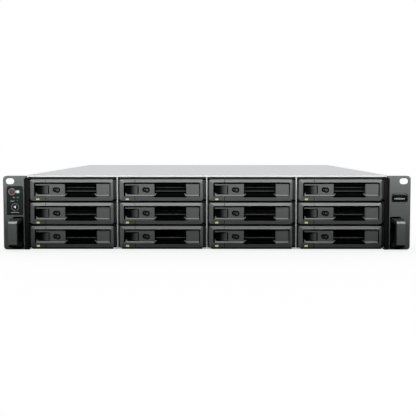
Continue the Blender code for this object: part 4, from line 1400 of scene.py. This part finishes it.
def build_world():
    """White to the eye. Its light is overhead, behind and at the sides, with next to none from the front."""
    world = bpy.data.worlds.new("studio")
    bpy.context.scene.world = world
    world.use_nodes = True
    tree = world.node_tree
    tree.nodes.clear()
    direction = add_node(tree, "ShaderNodeTexCoord").outputs["Generated"]
    parts = add_node(tree, "ShaderNodeSeparateXYZ", Vector=direction)
    x, y, z = (parts.outputs[axis] for axis in "XYZ")
    overhead = step(tree, "MULTIPLY", step(tree, "POWER", step(tree, "MAXIMUM", z, 0.0), 4.0), OVERHEAD)
    behind = step(tree, "MAXIMUM", y, 0.0)
    back = step(tree, "MULTIPLY", behind, FROM_BACK)
    edge = step(tree, "MINIMUM", step(tree, "MULTIPLY", behind, 8.0), 1.0)
    across = step(tree, "MULTIPLY", step(tree, "MULTIPLY", x, x), edge)
    sides = step(tree, "MULTIPLY", across, FROM_SIDES)
    total = step(tree, "ADD", overhead, step(tree, "ADD", back, sides))
    light = step(tree, "MULTIPLY", total, step(tree, "GREATER_THAN", z, 0.0))
    lit = add_node(tree, "ShaderNodeBackground", Strength=light)
    seen = add_node(tree, "ShaderNodeBackground", Color=(1, 1, 1), Strength=1.0)
    path = add_node(tree, "ShaderNodeLightPath")
    choose = add_node(tree, "ShaderNodeMixShader")
    to_camera = path.outputs["Is Camera Ray"]
    for socket, output in zip(choose.inputs, (to_camera, lit.outputs[0], seen.outputs[0])):
        feed(tree, socket, output)
    add_node(tree, "ShaderNodeOutputWorld", Surface=choose.outputs[0])


def area_light(name, at, aim, size, power):
    data = bpy.data.lights.new(name, "AREA")
    data.shape = "RECTANGLE"
    data.size, data.size_y = size
    data.energy = power
    light = linked(name, data)
    light.location = at
    light.rotation_euler = (Vector(aim) - Vector(at)).to_track_quat("-Z", "Y").to_euler()
    light.visible_camera = False
    return light


# Each strip's distance in front of the body and above its top, and its power.
STRIP_SIZE = (0.86, 0.022)
STRIP_OUT, STRIP_UP, STRIP_POWER = 0.077, 0.030, 0.70
TRAY_STRIP_OUT, TRAY_STRIP_UP, TRAY_STRIP_POWER = 0.257, 0.12, 0.90
PANEL_SIZE, PANEL_UP, PANEL_POWER = (2.6, 2.6), 2.2, 40.0


def build_lights(floor):
    """Two strips, close above the front and above pulled-out trays, and a panel for the top sheets only."""
    near, out = BODY_FRONT - STRIP_OUT, BODY_FRONT - TRAY_STRIP_OUT
    aim = (0, BODY_FRONT, 0.040)
    strip = area_light("front_strip", (0, near, TOP + STRIP_UP), aim, STRIP_SIZE, STRIP_POWER)
    covers = [frame["nodes"][name] for name in ("front_cover", "rear_cover")]
    caps = [obj for obj in bpy.data.objects if obj.name.startswith("button_cap_r")]
    kept_in = ("drive_case_r", "drive_lid_r", "drive_label_r", "drive_screws_r", "drive_board_r", "carrier_r")
    behind_front = [obj for obj in bpy.data.objects if obj.name.startswith(kept_in)]
    link_light(strip, covers + behind_front + [floor], "EXCLUDE")
    above = (0, out, TOP + TRAY_STRIP_UP)
    tray_strip = area_light("tray_strip", above, (0, out, 0), STRIP_SIZE, TRAY_STRIP_POWER)
    tray_strip.data.spread = math.radians(100)
    link_light(tray_strip, covers + caps + [floor], "EXCLUDE")
    panel = area_light("cover_panel", (0, 0, PANEL_UP), (0, 0, 0), PANEL_SIZE, PANEL_POWER)
    on_top = [bpy.data.objects[name] for name in ("cover_grips", "front_cover_screws")]
    link_light(panel, covers + on_top, "INCLUDE")


def link_light(light, objects, state):
    """Makes a light skip some objects, or reach only them."""
    group = bpy.data.collections.new(light.name + "_receivers")
    light.light_linking.receiver_collection = group
    for obj in objects:
        group.objects.link(obj)
    for link in group.collection_objects:
        link.light_linking.link_state = state


build_camera()
build_bays()
build_ears()
build_label_plate()
build_front_edges()
build_controls()
build_rear_panel()
build_power_supplies()
build_body_details()
build_board_parts()
build_carried()
FLOOR = build_floor()
build_world()
build_lights(FLOOR)
bpy.context.scene.view_settings.view_transform = "Standard"

bpy.context.view_layer.update()
